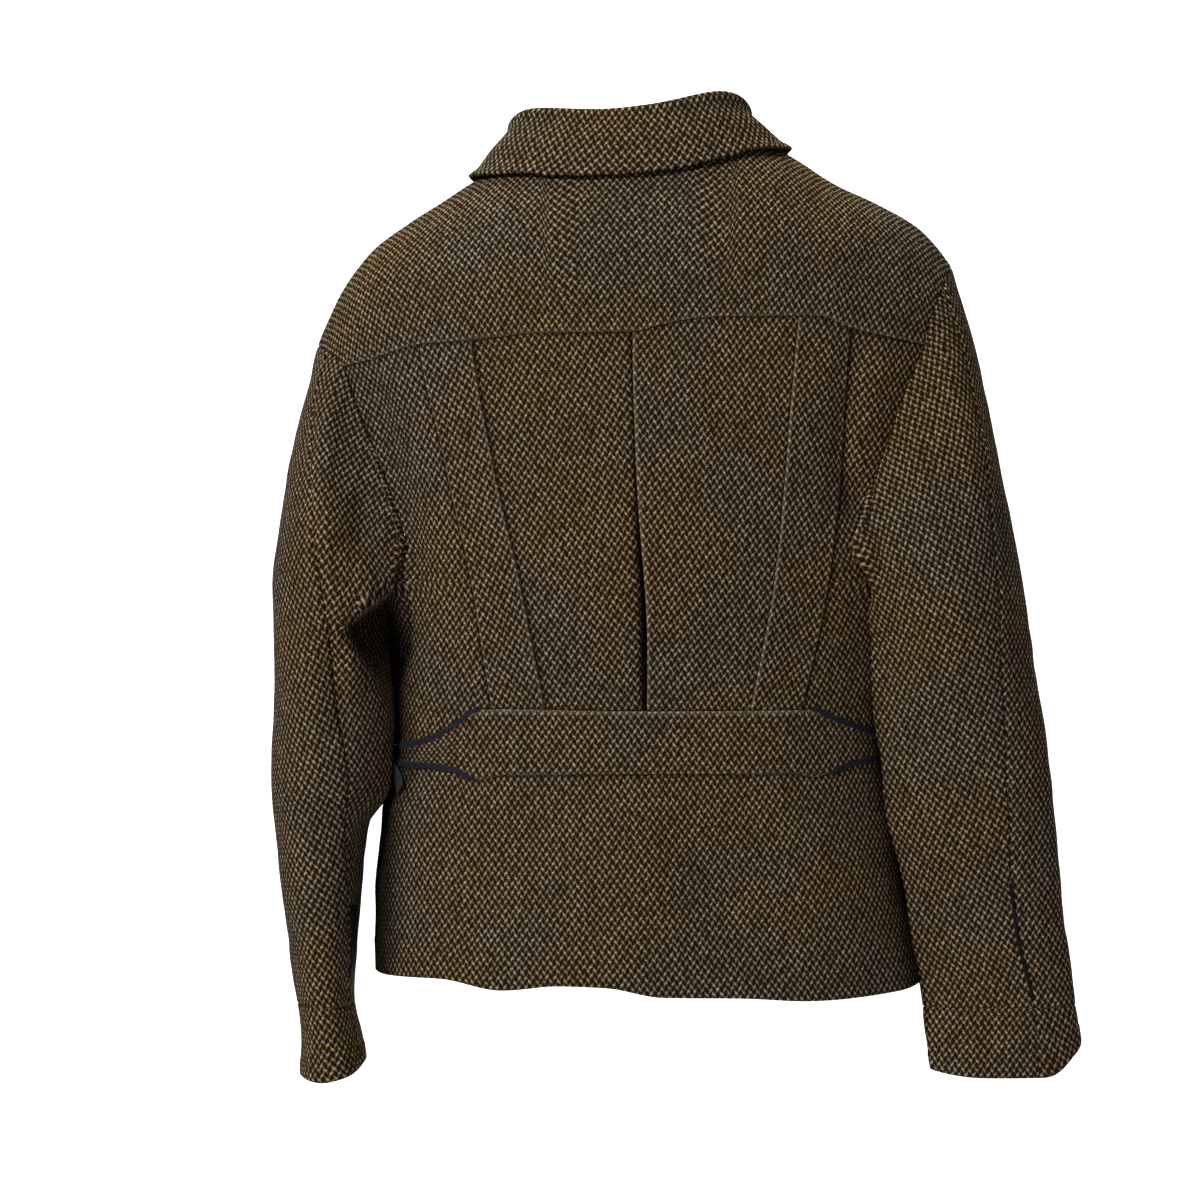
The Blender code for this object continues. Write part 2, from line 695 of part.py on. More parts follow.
def sleeve_grid(side, loop, turns, seam_turn, foot_number):
    grid = []
    ends = [sleeve_ring(side, turned(side, t, seam_turn, SLEEVE_TOP), SLEEVE_TOP) for t in turns]
    nexts = [sleeve_ring(side, turned(side, t, seam_turn, SLEEVE_TOP - 6), SLEEVE_TOP - 6) for t in turns]
    for s in LOFT:
        line = []
        for k, turn in enumerate(turns):
            start, end = loop[k], ends[k]
            reach = float(np.linalg.norm(end - start))
            leave = unit(np.array([side * setting["side"](turn), setting["back"](turn), setting["up"](turn)]))
            middle, half, back, front = ring(start[2])
            square = unit(np.array([(start[0] - middle) / half**2, start[1] / back**2, 0.0]))
            foot = ease(70, 25, abs(turn - 180))
            leave = unit(leave * (1 - foot) + square * foot) * reach * (setting["pull"](turn) + 0.3 * foot)
            arrive = unit(nexts[k] - end) * reach
            point = (
                (1 + 2 * s) * (1 - s) ** 2 * start + s * (1 - s) ** 2 * leave
                + s * s * (3 - 2 * s) * end - s * s * (1 - s) * arrive
            )
            if 0 < s:
                away = float(np.linalg.norm(point - start))
                point = clear_of_torso(point, min(SLEEVE_CLEAR, 0.6 + 1.25 * away) * ease(-150, -260, point[2]))
                if point[1] > 30:
                    point[1] += sleeve_relief(side, point) * ease(0, 0.3, s)
            line.append(point)
        grid.append(line)
    for z in SLEEVE_ROWS[1:]:
        line = []
        for t in turns:
            angle = turned(side, t, seam_turn, z)
            point = sleeve_ring(side, angle, z)
            point[1] += sleeve_relief(side, point) * ease(20, 70, angle) * ease(205, 160, angle)
            line.append(clear_of_torso(point, SLEEVE_CLEAR + STRAP_ROOM * bump(z, -455, 38)))
        grid.append(line)
    cuff = []
    for share in CUFF_ROWS:
        line = []
        for t in turns:
            angle = turned(side, t, seam_turn, -637)
            bottom = cuff_foot[side](angle % 360)
            z = -637 * (1 - share) + bottom * share
            line.append(clear_of_torso(sleeve_ring(side, angle, z), SLEEVE_CLEAR))
        cuff.append(line)
    return np.array(grid), np.array(cuff)


def armhole_loop(side, yoke):
    """Points round the armhole: over the shoulder, down the back, under the arm and up the front."""
    column = 0 if side > 0 else -1
    crown = len(YOKE_RISE) - 1
    foot = BACK_ROWS.index(ARMHOLE_FOOT)
    points = [yoke[i, column] for i in range(crown, 0, -1)]
    points += [upper_back[i, column] for i in range(foot + 1)]
    front = FRONTS[side][:, -1]
    front_foot = len(FRONT_RISE) + FRONT_ROWS.index(ARMHOLE_FOOT)
    down = len(points)
    points += [front[i] for i in range(front_foot - 1, -1, -1)]
    points += [yoke[i, column] for i in range(yoke.shape[0] - 2, crown - 1, -1)]
    points = np.array(points)
    lengths = np.concatenate([[0], np.cumsum(np.linalg.norm(np.diff(points, axis=0), axis=1))])
    under = down - 1
    turns = [
        180 * lengths[k] / lengths[under] if k <= under else 180 + 180 * (lengths[k] - lengths[under]) / (lengths[-1] - lengths[under])
        for k in range(len(points))
    ]
    return points, turns, under


BACK_SEAM_STEP = 3  # the sleeve's back seam starts this many points behind the shoulder line
FRONT_SEAM_TURN = 272
FOOT_DRAW = 1.3  # the sleeve is drawn back this much more at the armhole's foot


def make_sleeves(yoke):
    grids = {}
    for side, word in ((1, "left"), (-1, "right")):
        loop, turns, under = armhole_loop(side, yoke)
        grid, cuff = sleeve_grid(side, loop, turns, turns[BACK_SEAM_STEP], under)
        front = min(range(len(turns)), key=lambda k: abs(turns[k] - FRONT_SEAM_TURN))
        top = np.concatenate([grid[:, front:], grid[:, 1 : BACK_SEAM_STEP + 1]], axis=1)
        lower = grid[:, BACK_SEAM_STEP : front + 1]
        flip = side > 0
        draw = np.zeros(grid.shape[:2])
        draw[0] = [FOOT_DRAW * ease(80, 40, abs(turn - 180)) for turn in turns]
        top_draw = np.concatenate([draw[:, front:], draw[:, 1 : BACK_SEAM_STEP + 1]], axis=1)
        lower_draw = draw[:, BACK_SEAM_STEP : front + 1]
        for name, part, more in (("top_sleeve_", top, top_draw), ("under_sleeve_", lower, lower_draw)):
            patch(name + word, part if flip else part[:, ::-1], draw=more if flip else more[:, ::-1])
        around = np.concatenate([cuff[:, BACK_SEAM_STEP:], cuff[:, 1 : BACK_SEAM_STEP + 1]], axis=1)
        patch("cuff_" + word, around if flip else around[:, ::-1])
        grids[side] = (grid, cuff, turns)
    return grids


# ---- the collar --------------------------------------------------------------------------------------------------
COLLAR_TURNS = [-171, -162, -153, -144, -135, -126, -117, -108, -99, -89, -78, -66, -53, -39, -25, -11, 3, 17, 31, 45, 58, 70, 80, 90, 99, 108, 117, 126, 135, 144, 153, 162, 171]
COLLAR = rows(  # round the neck from the centre back: how far out and how high each line of the collar lies
    "name left right back front",
    ("stand", 71, 71, 60, 74),
    ("roll", 93, 84, 65, 86),
    ("fall", 123, 122, 85, 112),
)
collar_row = {line["name"]: line for line in COLLAR}
ROLL_HEIGHT = rows("turn z", (0, 43), (60, 41), (90, 34), (130, 2), (171, -32))
roll_height = curve(ROLL_HEIGHT, "turn", "z")
COLLAR_SHIFT = {"stand": 0, "roll": 3, "fall": 6.5}
STAND_INSIDE, COLLAR_CLEAR, FALL_LOW = 7.0, 6.0, -95


def collar_plan(name, degrees):
    line = collar_row[name]
    a = math.radians(degrees)
    x = COLLAR_SHIFT[name] + (line["left"] if a > 0 else line["right"]) * math.sin(a)
    y = (line["back"] if abs(degrees) < 90 else line["front"]) * math.cos(a)
    return x, y


def neckline(yoke):
    """Points round the neckline as (plan angle from the centre back, point)."""
    crown = len(YOKE_RISE) - 1
    points = [yoke[crown, k] for k in range(neck_left, neck_right + 1)]
    points += [yoke[i, k] for k in (neck_left, neck_right) for i in range(crown + 1, yoke.shape[0])]
    points += [FRONTS[side][0, k] for side in (1, -1) for k in range(1, NECK_COLUMNS)]
    return sorted(((math.degrees(math.atan2(p[0], p[1])), p) for p in points), key=lambda pair: pair[0])


def body_tree(names):
    points, faces = [], []
    for entry in PATCHES:
        if entry["name"] in names:
            some, quads = face_lists(entry)
            base = len(points)
            points += [Vector(p) for p in some]
            faces += [tuple(k + base for k in quad) for quad in quads]
    return BVHTree.FromPolygons(points, faces)


def clear_of(tree, point, gap):
    """The point raised until the surface under it is this far away, measured square to the surface."""
    height = point[2]
    out = unit(np.array([point[0], point[1], 0.0]))
    for reach in (0, 3, 6):
        start = Vector(point + out * reach)
        start.z = 300
        place, normal, _, _ = tree.ray_cast(start, Vector((0, 0, -1)))
        if place is not None:
            height = max(height, place.z + gap / max(0.4, abs(normal.z)))
    return np.array([point[0], point[1], height])


def collar_line(degrees, edge_points, tree):
    """One column of the collar, from the neckline up the stand, over the roll and down to the fall's edge."""
    turn = abs(degrees)
    angles = [pair[0] for pair in edge_points]
    foot = np.array([np.interp(degrees, angles, [pair[1][axis] for pair in edge_points]) for axis in range(3)])
    rx, ry = collar_plan("roll", degrees)
    fx, fy = collar_plan("fall", degrees)
    out = unit(np.array([rx - COLLAR_SHIFT["roll"], ry, 0.0]))
    top = roll_height(turn) - 0.06 * rx - 4.5 * bump(degrees, 8, 30) + 6 * bump(degrees, -50, 26) + 2.5 * bump(degrees, 58, 24)
    stand = foot - out * STAND_INSIDE + [0, 0, 3]
    roll = np.array([rx, ry, top])
    neck = roll - out * 5.5 - [0, 0, 9]
    line = [stand, stand * [0.85, 0.85, 0.5] + neck * [0.15, 0.15, 0.5], neck, roll - out * 3.4 - [0, 0, 2], roll.copy(), roll + out * 3.0 - [0, 0, 2.5]]
    line[1:] = [clear_of(tree, point, COLLAR_CLEAR) for point in line[1:]]
    shoulder = roll + out * 5.0 - [0, 0, 10]
    edge = np.array([fx, fy, FALL_LOW])
    hit = tree.ray_cast(Vector((fx, fy, 300)), Vector((0, 0, -1)))[0]
    if hit is not None:
        edge[2] = max(FALL_LOW, hit.z)
    for share in (0.0, 0.33, 0.67, 1.0):
        point = shoulder * (1 - share) + edge * share + out * 3.0 * math.sin(math.pi * share)
        line.append(clear_of(tree, point, COLLAR_CLEAR))
    return line


def make_collar(yoke):
    edge_points = neckline(yoke)
    tree = body_tree(("back_yoke", "front_left", "front_right"))
    grid = np.array([collar_line(d, edge_points, tree) for d in COLLAR_TURNS]).transpose(1, 0, 2)
    patch("collar", grid[::-1], thick=2.0, shared=False)
    return grid


# ---- small pieces ------------------------------------------------------------------------------------------------
TAPE_WIDTH, TAPE_THICK = 5.0, 0.9
BUCKLE_HIGH, BUCKLE_WIDE, BUCKLE_WIRE = 25, 17, 2.4
BUTTON_ACROSS, BUTTON_THICK, BUTTONS = 18, 3.4, 5


TAPE_END = 0.68  # the tapes stop this far along the last span, clear of the buckle
STRAP = rows(  # the strap's middle line past the side seam: forward to back, height, and how far off the side
    "y z lift",
    (-38, -448, 3.6), (-24, -448, 4.2), (-11, -448, 5.3), (0, -448, 5.4), (11, -449, 5.3), (22, -452, 4.2),
    (34, -457, 4.0), (45, -464, 4.4), (53, -473, 5.0),
)
STRAP_WIDTH, STRAP_THICK = 15.0, 1.2
VENTS = {1: (6.0, -560, -618), -1: (4.0, -575, -628)}  # half width, top and foot of each sleeve's dark vent facing
LINING_STRIP = (0.4, 0.9)  # share of the last row of the front that the strip of lining inside it takes


def strip(name, middles, across, half, thick, lift):
    """A flat strip along points of a panel, moved out from it."""
    grid = [[m - a * half for m, a in zip(middles, across)], list(middles), [m + a * half for m, a in zip(middles, across)]]
    patch(name, np.array(grid), thick=thick, lift=lift, shared=False)


def make_tapes():
    lift = CLOTH / 2 + 0.35 + TAPE_THICK / 2
    for side, word in ((1, "left"), (-1, "right")):
        for seam, row_points, beside in (("upper", band[0], upper_back[-2]), ("lower", band[-1], skirt[1])):
            numbers = sorted((k for k in range(len(COLUMNS)) if side * row_points[k][0] > 108), key=lambda k: side * row_points[k][0])
            middles = [row_points[k] for k in numbers]
            across = [unit(beside[k] - row_points[k]) for k in numbers]
            middles[-1] = middles[-2] + (middles[-1] - middles[-2]) * TAPE_END
            strip(f"tape_{seam}_{word}", middles, across, TAPE_WIDTH / 2, TAPE_THICK, lift)


def side_point(side, y, z, lift):
    """A point off the side of the body, y forward (-) or back (+) of the side seam."""
    middle, half, back, front = ring(z)
    depth = back if y > 0 else front
    x = half * (1 - (abs(y) / depth) ** BOXINESS) ** (1 / BOXINESS)
    out = unit(np.array([side * x ** (BOXINESS - 1) / half**BOXINESS, signed_power(y, BOXINESS - 1) / depth**BOXINESS, 0.0]))
    return np.array([middle + side * x, y, z]) + out * lift


def make_straps():
    for side, word in ((1, "left"), (-1, "right")):
        middles = [side_point(side, line["y"], line["z"], line["lift"]) for line in STRAP]
        steps = [unit(b - a) for a, b in zip(middles, middles[1:])]
        steps.append(steps[-1])
        across = []
        for k, point in enumerate(middles):
            out = unit(side_point(side, STRAP[k]["y"], point[2], 1) - side_point(side, STRAP[k]["y"], point[2], 0))
            across.append(unit(np.cross(out, steps[k])))
        strip(f"strap_{word}", middles, across, STRAP_WIDTH / 2, STRAP_THICK, 0.0)
        centre = side_point(side, 0, -448, CLOTH / 2 + 0.7 + 1.1)
        wide = unit(side_point(side, 8, -448, 0) - side_point(side, -8, -448, 0))
        high = unit(side_point(side, 0, -438, 0) - side_point(side, 0, -458, 0))
        frame(f"buckle_{word}", centre, wide, high, material(f"buckle_{word}", (0.35, 0.35, 0.36), 1.0, 0.4))


def make_vents():
    for side, word in ((1, "left"), (-1, "right")):
        grid, _, turns = SLEEVES[side]
        half, top, foot = VENTS[side]
        column, beside = grid[:, BACK_SEAM_STEP], grid[:, BACK_SEAM_STEP + 1]
        middles, across = [], []
        for i in range(len(column) - 1, 0, -1):
            a, b = column[i], column[i - 1]
            if b[2] < foot or a[2] > top:
                continue
            for z in (max(a[2], foot),) + ((min(b[2], top),) if b[2] > top or i == 1 else ()):
                share = (z - a[2]) / (b[2] - a[2])
                middles.append(a + (b - a) * share)
                across.append(unit(beside[i] + (beside[i - 1] - beside[i]) * share - middles[-1]))
        lift = CLOTH / 2 + 0.35 + 0.5
        strip(f"vent_facing_{word}", [m + a * half * 1.1 for m, a in zip(middles, across)], across, half, 1.0, lift)


def make_lining_strip():
    low, high = LINING_STRIP
    last, above = FRONTS[1][-1], FRONTS[1][-2]
    numbers = [k for k in range(len(last)) if 0 < last[k][0] < 105]
    rows_of = [[last[k] + (above[k] - last[k]) * share for k in numbers] for share in (low, high)]
    patch("front_lining_strip", rows_of, thick=1.0, lift=-(CLOTH / 2 + 0.35 + 0.5), shared=False)


def make_buttons():
    tree = body_tree(("front_left",))
    for number in range(BUTTONS):
        z = -112 - 106 * number
        place, normal, _, _ = tree.ray_cast(Vector((-1, -400, z)), Vector((0, 1, 0)))
        out = np.array(normal if normal.y < 0 else -normal)
        disc(f"button_{number + 1}", np.array(place) + out * (CLOTH / 2 + 0.35), out, BUTTON_ACROSS, BUTTON_THICK,
             material(f"button_{number + 1}", (0.03, 0.02, 0.013), roughness=0.35))


def frame(name, centre, wide_way, high_way, material):
    """A flat wire frame with a bar across it: a slide buckle, made as one grid of boxes."""
    out = unit(np.cross(wide_way, high_way))
    w, h, wire = BUCKLE_WIDE / 2, BUCKLE_HIGH / 2, BUCKLE_WIRE
    xs = [-w, -w + wire, -wire / 2, wire / 2, w - wire, w]
    ys = [-h, -h + wire, h - wire, h]
    solid = {(i, j) for i in range(5) for j in range(3)} - {(1, 1), (3, 1)}
    points, faces, index = [], [], {}

    def corner(i, j, level):
        if (i, j, level) not in index:
            index[(i, j, level)] = len(points)
            points.append(centre + wide_way * xs[i] + high_way * ys[j] + out * (level - 0.5) * 1.8)
        return index[(i, j, level)]

    for i, j in sorted(solid):
        loop = [(i, j), (i + 1, j), (i + 1, j + 1), (i, j + 1)]
        faces.append([corner(a, b, 1) for a, b in loop])
        faces.append([corner(a, b, 0) for a, b in reversed(loop)])
        for (a, b), (c, d), beside in zip(loop, loop[1:] + loop[:1], ((i, j - 1), (i + 1, j), (i, j + 1), (i - 1, j))):
            if beside not in solid:
                faces.append([corner(a, b, 1), corner(a, b, 0), corner(c, d, 0), corner(c, d, 1)])
    make_object(name, points, faces, material)


def disc(name, centre, out, across, thick, material, sides=24):
    """A button: a turned disc with a raised rim."""
    side = unit(np.cross(out, np.array([0.0, 0.0, 1.0])))
    up = np.cross(side, out)
    profile = [(0.0, 0.0), (0.42, 0.0), (0.5, 0.25), (0.5, 0.75), (0.44, 1.0), (0.36, 0.8), (0.0, 0.7)]
    points, faces = [centre + out * 0.0], []
    for radius, level in profile[1:-1]:
        for k in range(sides):
            a = 2 * math.pi * k / sides
            points.append(centre + (side * math.cos(a) + up * math.sin(a)) * radius * across + out * level * thick)
    points.append(centre + out * profile[-1][1] * thick)
    last = len(points) - 1
    rings = len(profile) - 2
    for k in range(sides):
        n = (k + 1) % sides
        faces.append([0, 1 + n, 1 + k])
        for r in range(rings - 1):
            a, b = 1 + r * sides, 1 + (r + 1) * sides
            faces.append([a + k, a + n, b + n, b + k])
        faces.append([1 + (rings - 1) * sides + k, 1 + (rings - 1) * sides + n, last])
    make_object(name, points, faces, material)


def material(name, colour, metallic=0.0, roughness=0.85):
    made = bpy.data.materials.new(name)
    made.use_nodes = True
    shader = made.node_tree.nodes["Principled BSDF"]
    shader.inputs["Base Color"].default_value = (*colour, 1)
    shader.inputs["Metallic"].default_value = metallic
    shader.inputs["Roughness"].default_value = roughness
    return made


for old in list(bpy.data.objects):
    bpy.data.objects.remove(old, do_unlink=True)

TWEED = (0.062, 0.042, 0.026)
FRONTS = {1: front_grid(1), -1: front_grid(-1)}
make_back()
yoke_grid = make_yoke()
patch("front_left", FRONTS[1])
patch("front_right", FRONTS[-1][:, ::-1])
SLEEVES = make_sleeves(yoke_grid)
collar_grid = make_collar(yoke_grid)
make_tapes()
make_straps()
make_vents()
make_lining_strip()
make_buttons()


def look(name):
    if name.startswith("tape"):
        return material(name, (0.012, 0.012, 0.016), roughness=0.6)
    if name.startswith("vent"):
        return material(name, (0.008, 0.008, 0.009), roughness=0.7)
    if name.startswith("strap"):
        return material(name, (0.03, 0.03, 0.024))
    if name.startswith("front_lining"):
        return material(name, (0.09, 0.085, 0.075), roughness=0.5)
    return material(name, TWEED)


# Each patch's points run so that its normal faces out of the jacket.
for entry in PATCHES:
    points, faces = face_lists(entry)
    middle = points.mean(axis=0)
    if entry["name"].startswith(("top_sleeve", "under_sleeve", "cuff")):
        side = 1 if entry["name"].endswith("left") else -1
        votes = 0.0
        for face in faces:
            place = sum(points[k] for k in face) / 4
            if place[2] < SLEEVE_TOP:
                core = np.array([sleeve_at[side]["x"](place[2]), sleeve_at[side]["y"](place[2]), place[2]])
                votes += float(np.dot(face_normal(points, face), place - core))
    elif entry["name"].startswith("vent"):
        side = 1 if entry["name"].endswith("left") else -1
        core = np.array([sleeve_at[side]["x"](-595), sleeve_at[side]["y"](-595), middle[2]])
        votes = sum(float(np.dot(face_normal(points, f), sum(points[k] for k in f) / 4 - core)) for f in faces)
    elif entry["name"] == "collar":
        fall = [f for f in faces if max(f) < 2 * entry["grid"].shape[1]]
        votes = sum(float(np.dot(face_normal(points, f), points[f[0]] * [1, 1, 0] + [0, 0, 40])) for f in fall)
    else:
        votes = sum(float(np.dot(face_normal(points, f), (sum(points[k] for k in f) / 4) - [0, 0, -250 if entry["name"] != "back_yoke" else -130])) for f in faces)
    if votes < 0:
        entry["grid"] = entry["grid"][:, ::-1]
        entry["keep"] = entry["keep"][:, ::-1]
        entry["draw"] = entry["draw"][:, ::-1]
build_walls(look)
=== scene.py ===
"""Looks of a short tweed jacket seen from behind, filled out with no wearer.

Sizes are in millimetres, as in the part's source, and are turned to metres when a mesh is made. The front
faces -Y, +X is the wearer's left and Z = 0 is the middle of the shoulder line. Every cloth piece is a wall: a
fine grid of points on the same surfaces as the CAD panels, with rounded seam edges, small creases, and UVs in
metres along its grain for the weave."""

import bisect
import math

import bpy
import numpy as np
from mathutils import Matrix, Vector, noise
from mathutils.bvhtree import BVHTree


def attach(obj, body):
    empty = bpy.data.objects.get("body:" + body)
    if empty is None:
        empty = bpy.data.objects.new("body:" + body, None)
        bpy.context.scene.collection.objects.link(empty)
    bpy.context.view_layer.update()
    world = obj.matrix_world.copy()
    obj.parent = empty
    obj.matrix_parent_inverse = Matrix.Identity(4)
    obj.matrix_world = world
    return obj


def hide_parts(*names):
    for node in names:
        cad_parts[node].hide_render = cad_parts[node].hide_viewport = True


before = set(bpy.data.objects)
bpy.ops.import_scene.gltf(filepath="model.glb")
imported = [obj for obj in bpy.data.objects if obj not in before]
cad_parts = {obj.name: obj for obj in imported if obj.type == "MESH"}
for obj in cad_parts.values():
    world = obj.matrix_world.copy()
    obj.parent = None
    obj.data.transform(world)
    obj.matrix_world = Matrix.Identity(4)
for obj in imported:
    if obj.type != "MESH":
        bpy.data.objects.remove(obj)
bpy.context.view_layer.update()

MM = 0.001
CLOTH = 2.2  # wall thickness of the tweed with its lining
SEAM_GAP = 0.4
BOXINESS = 2.35  # power of the torso's rings
HALF_PI = math.pi / 2
SIDES = ((1, "left"), (-1, "right"))  # the wearer's left is +X


def rows(names, *lines):
    return [dict(zip(names.split(), line)) for line in lines]


def curve(table, across, value):
    """A monotone cubic through one column of a table, held straight past its ends."""
    points = sorted((line[across], line[value]) for line in table)
    x = np.array([p[0] for p in points], float)
    y = np.array([p[1] for p in points], float)
    step = np.diff(x)
    rise = np.diff(y) / step
    slope = np.empty(len(x))
    slope[0], slope[-1] = rise[0], rise[-1]
    for i in range(1, len(x) - 1):
        together = rise[i - 1] * rise[i] > 0
        slope[i] = 2 / (1 / rise[i - 1] + 1 / rise[i]) if together else 0.0
    x, y, step, slope = x.tolist(), y.tolist(), step.tolist(), slope.tolist()

    def at(place):
        if place <= x[0]:
            return y[0] + slope[0] * (place - x[0])
        if place >= x[-1]:
            return y[-1] + slope[-1] * (place - x[-1])
        i = bisect.bisect_right(x, place) - 1
        s = (place - x[i]) / step[i]
        return (
            (1 + 2 * s) * (1 - s) ** 2 * y[i]
            + s * (1 - s) ** 2 * step[i] * slope[i]
            + s * s * (3 - 2 * s) * y[i + 1]
            + s * s * (s - 1) * step[i] * slope[i + 1]
        )

    return at


def ease(low, high, value):
    s = min(1.0, max(0.0, (value - low) / (high - low)))
    return s * s * (3 - 2 * s)


def bump(value, middle, width):
    return math.exp(-(((value - middle) / width) ** 2))


# ---- sizes ---------------------------------------------------------------------------------------
TORSO = rows(
    "z left right back front",
    (-130, 246, -247, 112, 100),
    (-190, 227, -229, 121, 112),
    (-250, 212, -213, 124, 120),
    (-316, 200, -203, 122, 122),
    (-370, 190, -195, 117, 118),
    (-430, 187, -190, 114, 114),
    (-466, 187.7, -192.5, 116, 115),
    (-490, 195, -196.5, 118, 117),
    (-550, 198.5, -207, 124, 122),
    (-640, 199, -219, 131, 128),
)
RIDGE = rows(  # the top of the shoulders, under the collar in the middle
    "x z",
    (243, -139), (236, -122), (222, -93), (199, -64), (176, -48), (152, -33), (130, -18), (75, 14), (0, 34),
    (-75, 24), (-116, 3), (-149, -18), (-181, -33), (-208, -48), (-223, -62), (-236, -79),
)
YOKE_SEAM = rows(
    "x z",
    (223, -155), (202, -150), (180, -143), (164, -139), (125, -136), (76, -131), (6, -130), (-15, -125),
    (-52, -119), (-133, -118), (-154, -126), (-204, -137),
)
WAIST_SEAM = rows(
    "x upper lower",
    (188, -441, -455), (171, -438, -454), (157, -434, -454), (139, -424, -456), (121, -411, -463),
    (100, -410, -459),
    (0, -411, -458), (-110, -411, -458), (-130, -411, -461), (-143, -417, -457), (-158, -423, -452),
    (-190, -437, -447),
)
HEM = rows(
    "x z",
    (196, -613), (150, -612), (105, -619), (60, -615), (26, -616), (-16, -623), (-75, -624), (-127, -627),
    (-195, -623), (-218, -617),
)
PANEL_SEAMS = rows(  # across the back, at each height
    "z outer_left inner_left pleat inner_right outer_right",
    (-120, 166, 127, 6, -117, -156),
    (-142, 164, 124.5, 6, -115, -154),
    (-223, 146, 110, 4, -108, -149),
    (-309, 127, 91, 1, -100, -141),
    (-409, 111, 71, -3, -82, -121),
)
ARMHOLE_BACK = rows(
    "z left right",
    (-118, 238, 222), (-139, 232, 213), (-159, 221, 204), (-180, 214, 195), (-212, 201, 184.5),
    (-250, 186, 169),
    (-288, 174, 156),
)
ARMHOLE_FRONT = rows(
    "z left right", (-112, 222, 218), (-135, 212, 210), (-185, 190, 190), (-230, 178, 180), (-288, 181, 183),
)
ARMHOLE_FOOT = -316
FOOT_TURN = -288  # below this the armhole turns in to the side seam
WAIST = -411  # the upper back's last row
SHOULDER_LEFT, SHOULDER_RIGHT = 243, -236  # the shoulder line's ends
NECK_LEFT, NECK_RIGHT = 75, -70  # where the columns under the neck's corners meet the yoke seam
NECK_HALF, NECK_BACK = 75, 64  # half the neck's width on the shoulder line, and how far back it reaches
NECK_CORNER = 80  # half the neck's width on the chest line
NECK_FRONT = -58  # height of the neckline at the centre front
FRONT_SEAM_REACH = 45  # the yoke's front seam lies this far forward of the shoulder line
CHEST = -135  # where the front's shoulder part gives way to the torso's rings
PLEAT_UNDER, PLEAT_STEP, PLEAT_OPEN = 28, 4.6, 4.0  # how far the pleat goes under, goes in and stands open
FRONT_LAP, LAP_STEP = 14, 4.8  # each front passes the middle by this much, left over right
FRONT_DROP = {1: 24, -1: 8}  # how much lower each front's hem is at the centre
SEAMS = ("outer_left", "inner_left", "pleat", "inner_right", "outer_right")

torso_at = {name: curve(TORSO, "z", name) for name in ("left", "right", "back", "front")}
ridge = curve(RIDGE, "x", "z")
yoke_seam = curve(YOKE_SEAM, "x", "z")
waist_upper = curve(WAIST_SEAM, "x", "upper")
waist_lower = curve(WAIST_SEAM, "x", "lower")
hem = curve(HEM, "x", "z")
seam_at = {name: curve(PANEL_SEAMS, "z", name) for name in SEAMS}
armhole_back, armhole_front = (
    {side: curve(table, "z", word) for side, word in SIDES} for table in (ARMHOLE_BACK, ARMHOLE_FRONT))

BACK_FOLDS = rows(  # troughs, then ridges: middle line from (x0, z0) to (x1, z1), how wide and how deep
    "x0 z0 x1 z1 width depth",
    (200, -165, 171, -262, 12, 8),
    (171, -262, 164, -318, 10, 8),
    (164, -318, 187, -398, 8, 7),
    (-160, -135, -149, -215, 12, 7),
    (-149, -215, -162, -268, 12, 8),
    (-45, -485, -85, -600, 30, 6),
    (-168, -70, -190, -110, 26, 5),
    (95, -490, 120, -600, 34, 4),
    (183, -300, 178, -345, 8, -5),
    (20, -500, -10, -610, 30, -4),
    (-140, -490, -150, -600, 28, -3),
)


def line_distance(line, x, z):
    """Distance of (x, z) from a fold's middle line, and a fade that dies away past its ends."""
    dx, dz = line["x1"] - line["x0"], line["z1"] - line["z0"]
    length = math.hypot(dx, dz)
    along = ((x - line["x0"]) * dx + (z - line["z0"]) * dz) / length**2
    near = min(1.0, max(0.0, along))
    gap = math.hypot(x - line["x0"] - near * dx, z - line["z0"] - near * dz)
    return gap, ease(-0.25, 0.25, along) * ease(1.25, 0.75, along)


def fold_rise(folds, x, z):
    """How far folds push a surface that faces back, in millimetres."""
    total = 0.0
    for fold in folds:
        gap, fade = line_distance(fold, x, z)
        total -= fold["depth"] * fade * bump(gap, 0, fold["width"])
    return total


def ring(z):
    left, right = torso_at["left"](z), torso_at["right"](z)
    middle = (left + right) / 2
    return middle, (left - right) / 2, torso_at["back"](z), torso_at["front"](z)


def signed_power(value, power):
    return math.copysign(abs(value) ** power, value)


def torso(angle, z, relief=True):
    """A point of the torso: angle 0 is the centre back, +90 degrees the wearer's left side."""
    middle, half, back, front = ring(z)
    x = middle + half * signed_power(math.sin(angle), 2 / BOXINESS)
    y = (back if math.cos(angle) > 0 else front) * signed_power(math.cos(angle), 2 / BOXINESS)
    if relief and y > 0:
        y += fold_rise(BACK_FOLDS, x, z) * ease(0, 40, y)
    return np.array([x, y, z])


def angle_of(x, z, front=False):
    middle, half, _, _ = ring(z)
    share = min(1.0, max(-1.0, (x - middle) / half))
    angle = math.asin(signed_power(share, BOXINESS / 2))
    return math.copysign(math.pi, angle) - angle if front else angle


def foot_turn(z):
    """0 above the armhole's foot, 1 where it reaches the side seam."""
    s = min(1.0, max(0.0, (FOOT_TURN - z) / (FOOT_TURN - ARMHOLE_FOOT)))
    return 1 - math.sqrt(max(0.0, 1 - s * s))


def edge_angle(side, z, front=False):
    """Where the body ends at the armhole, or at the side seam below it."""
    if z <= ARMHOLE_FOOT:
        return side * HALF_PI
    x = side * (armhole_front if front else armhole_back)[side](max(z, FOOT_TURN))
    start = angle_of(x, max(z, FOOT_TURN), front)
    if z >= FOOT_TURN:
        return angle_of(x, z, front)
    return start + (side * HALF_PI - start) * foot_turn(z)


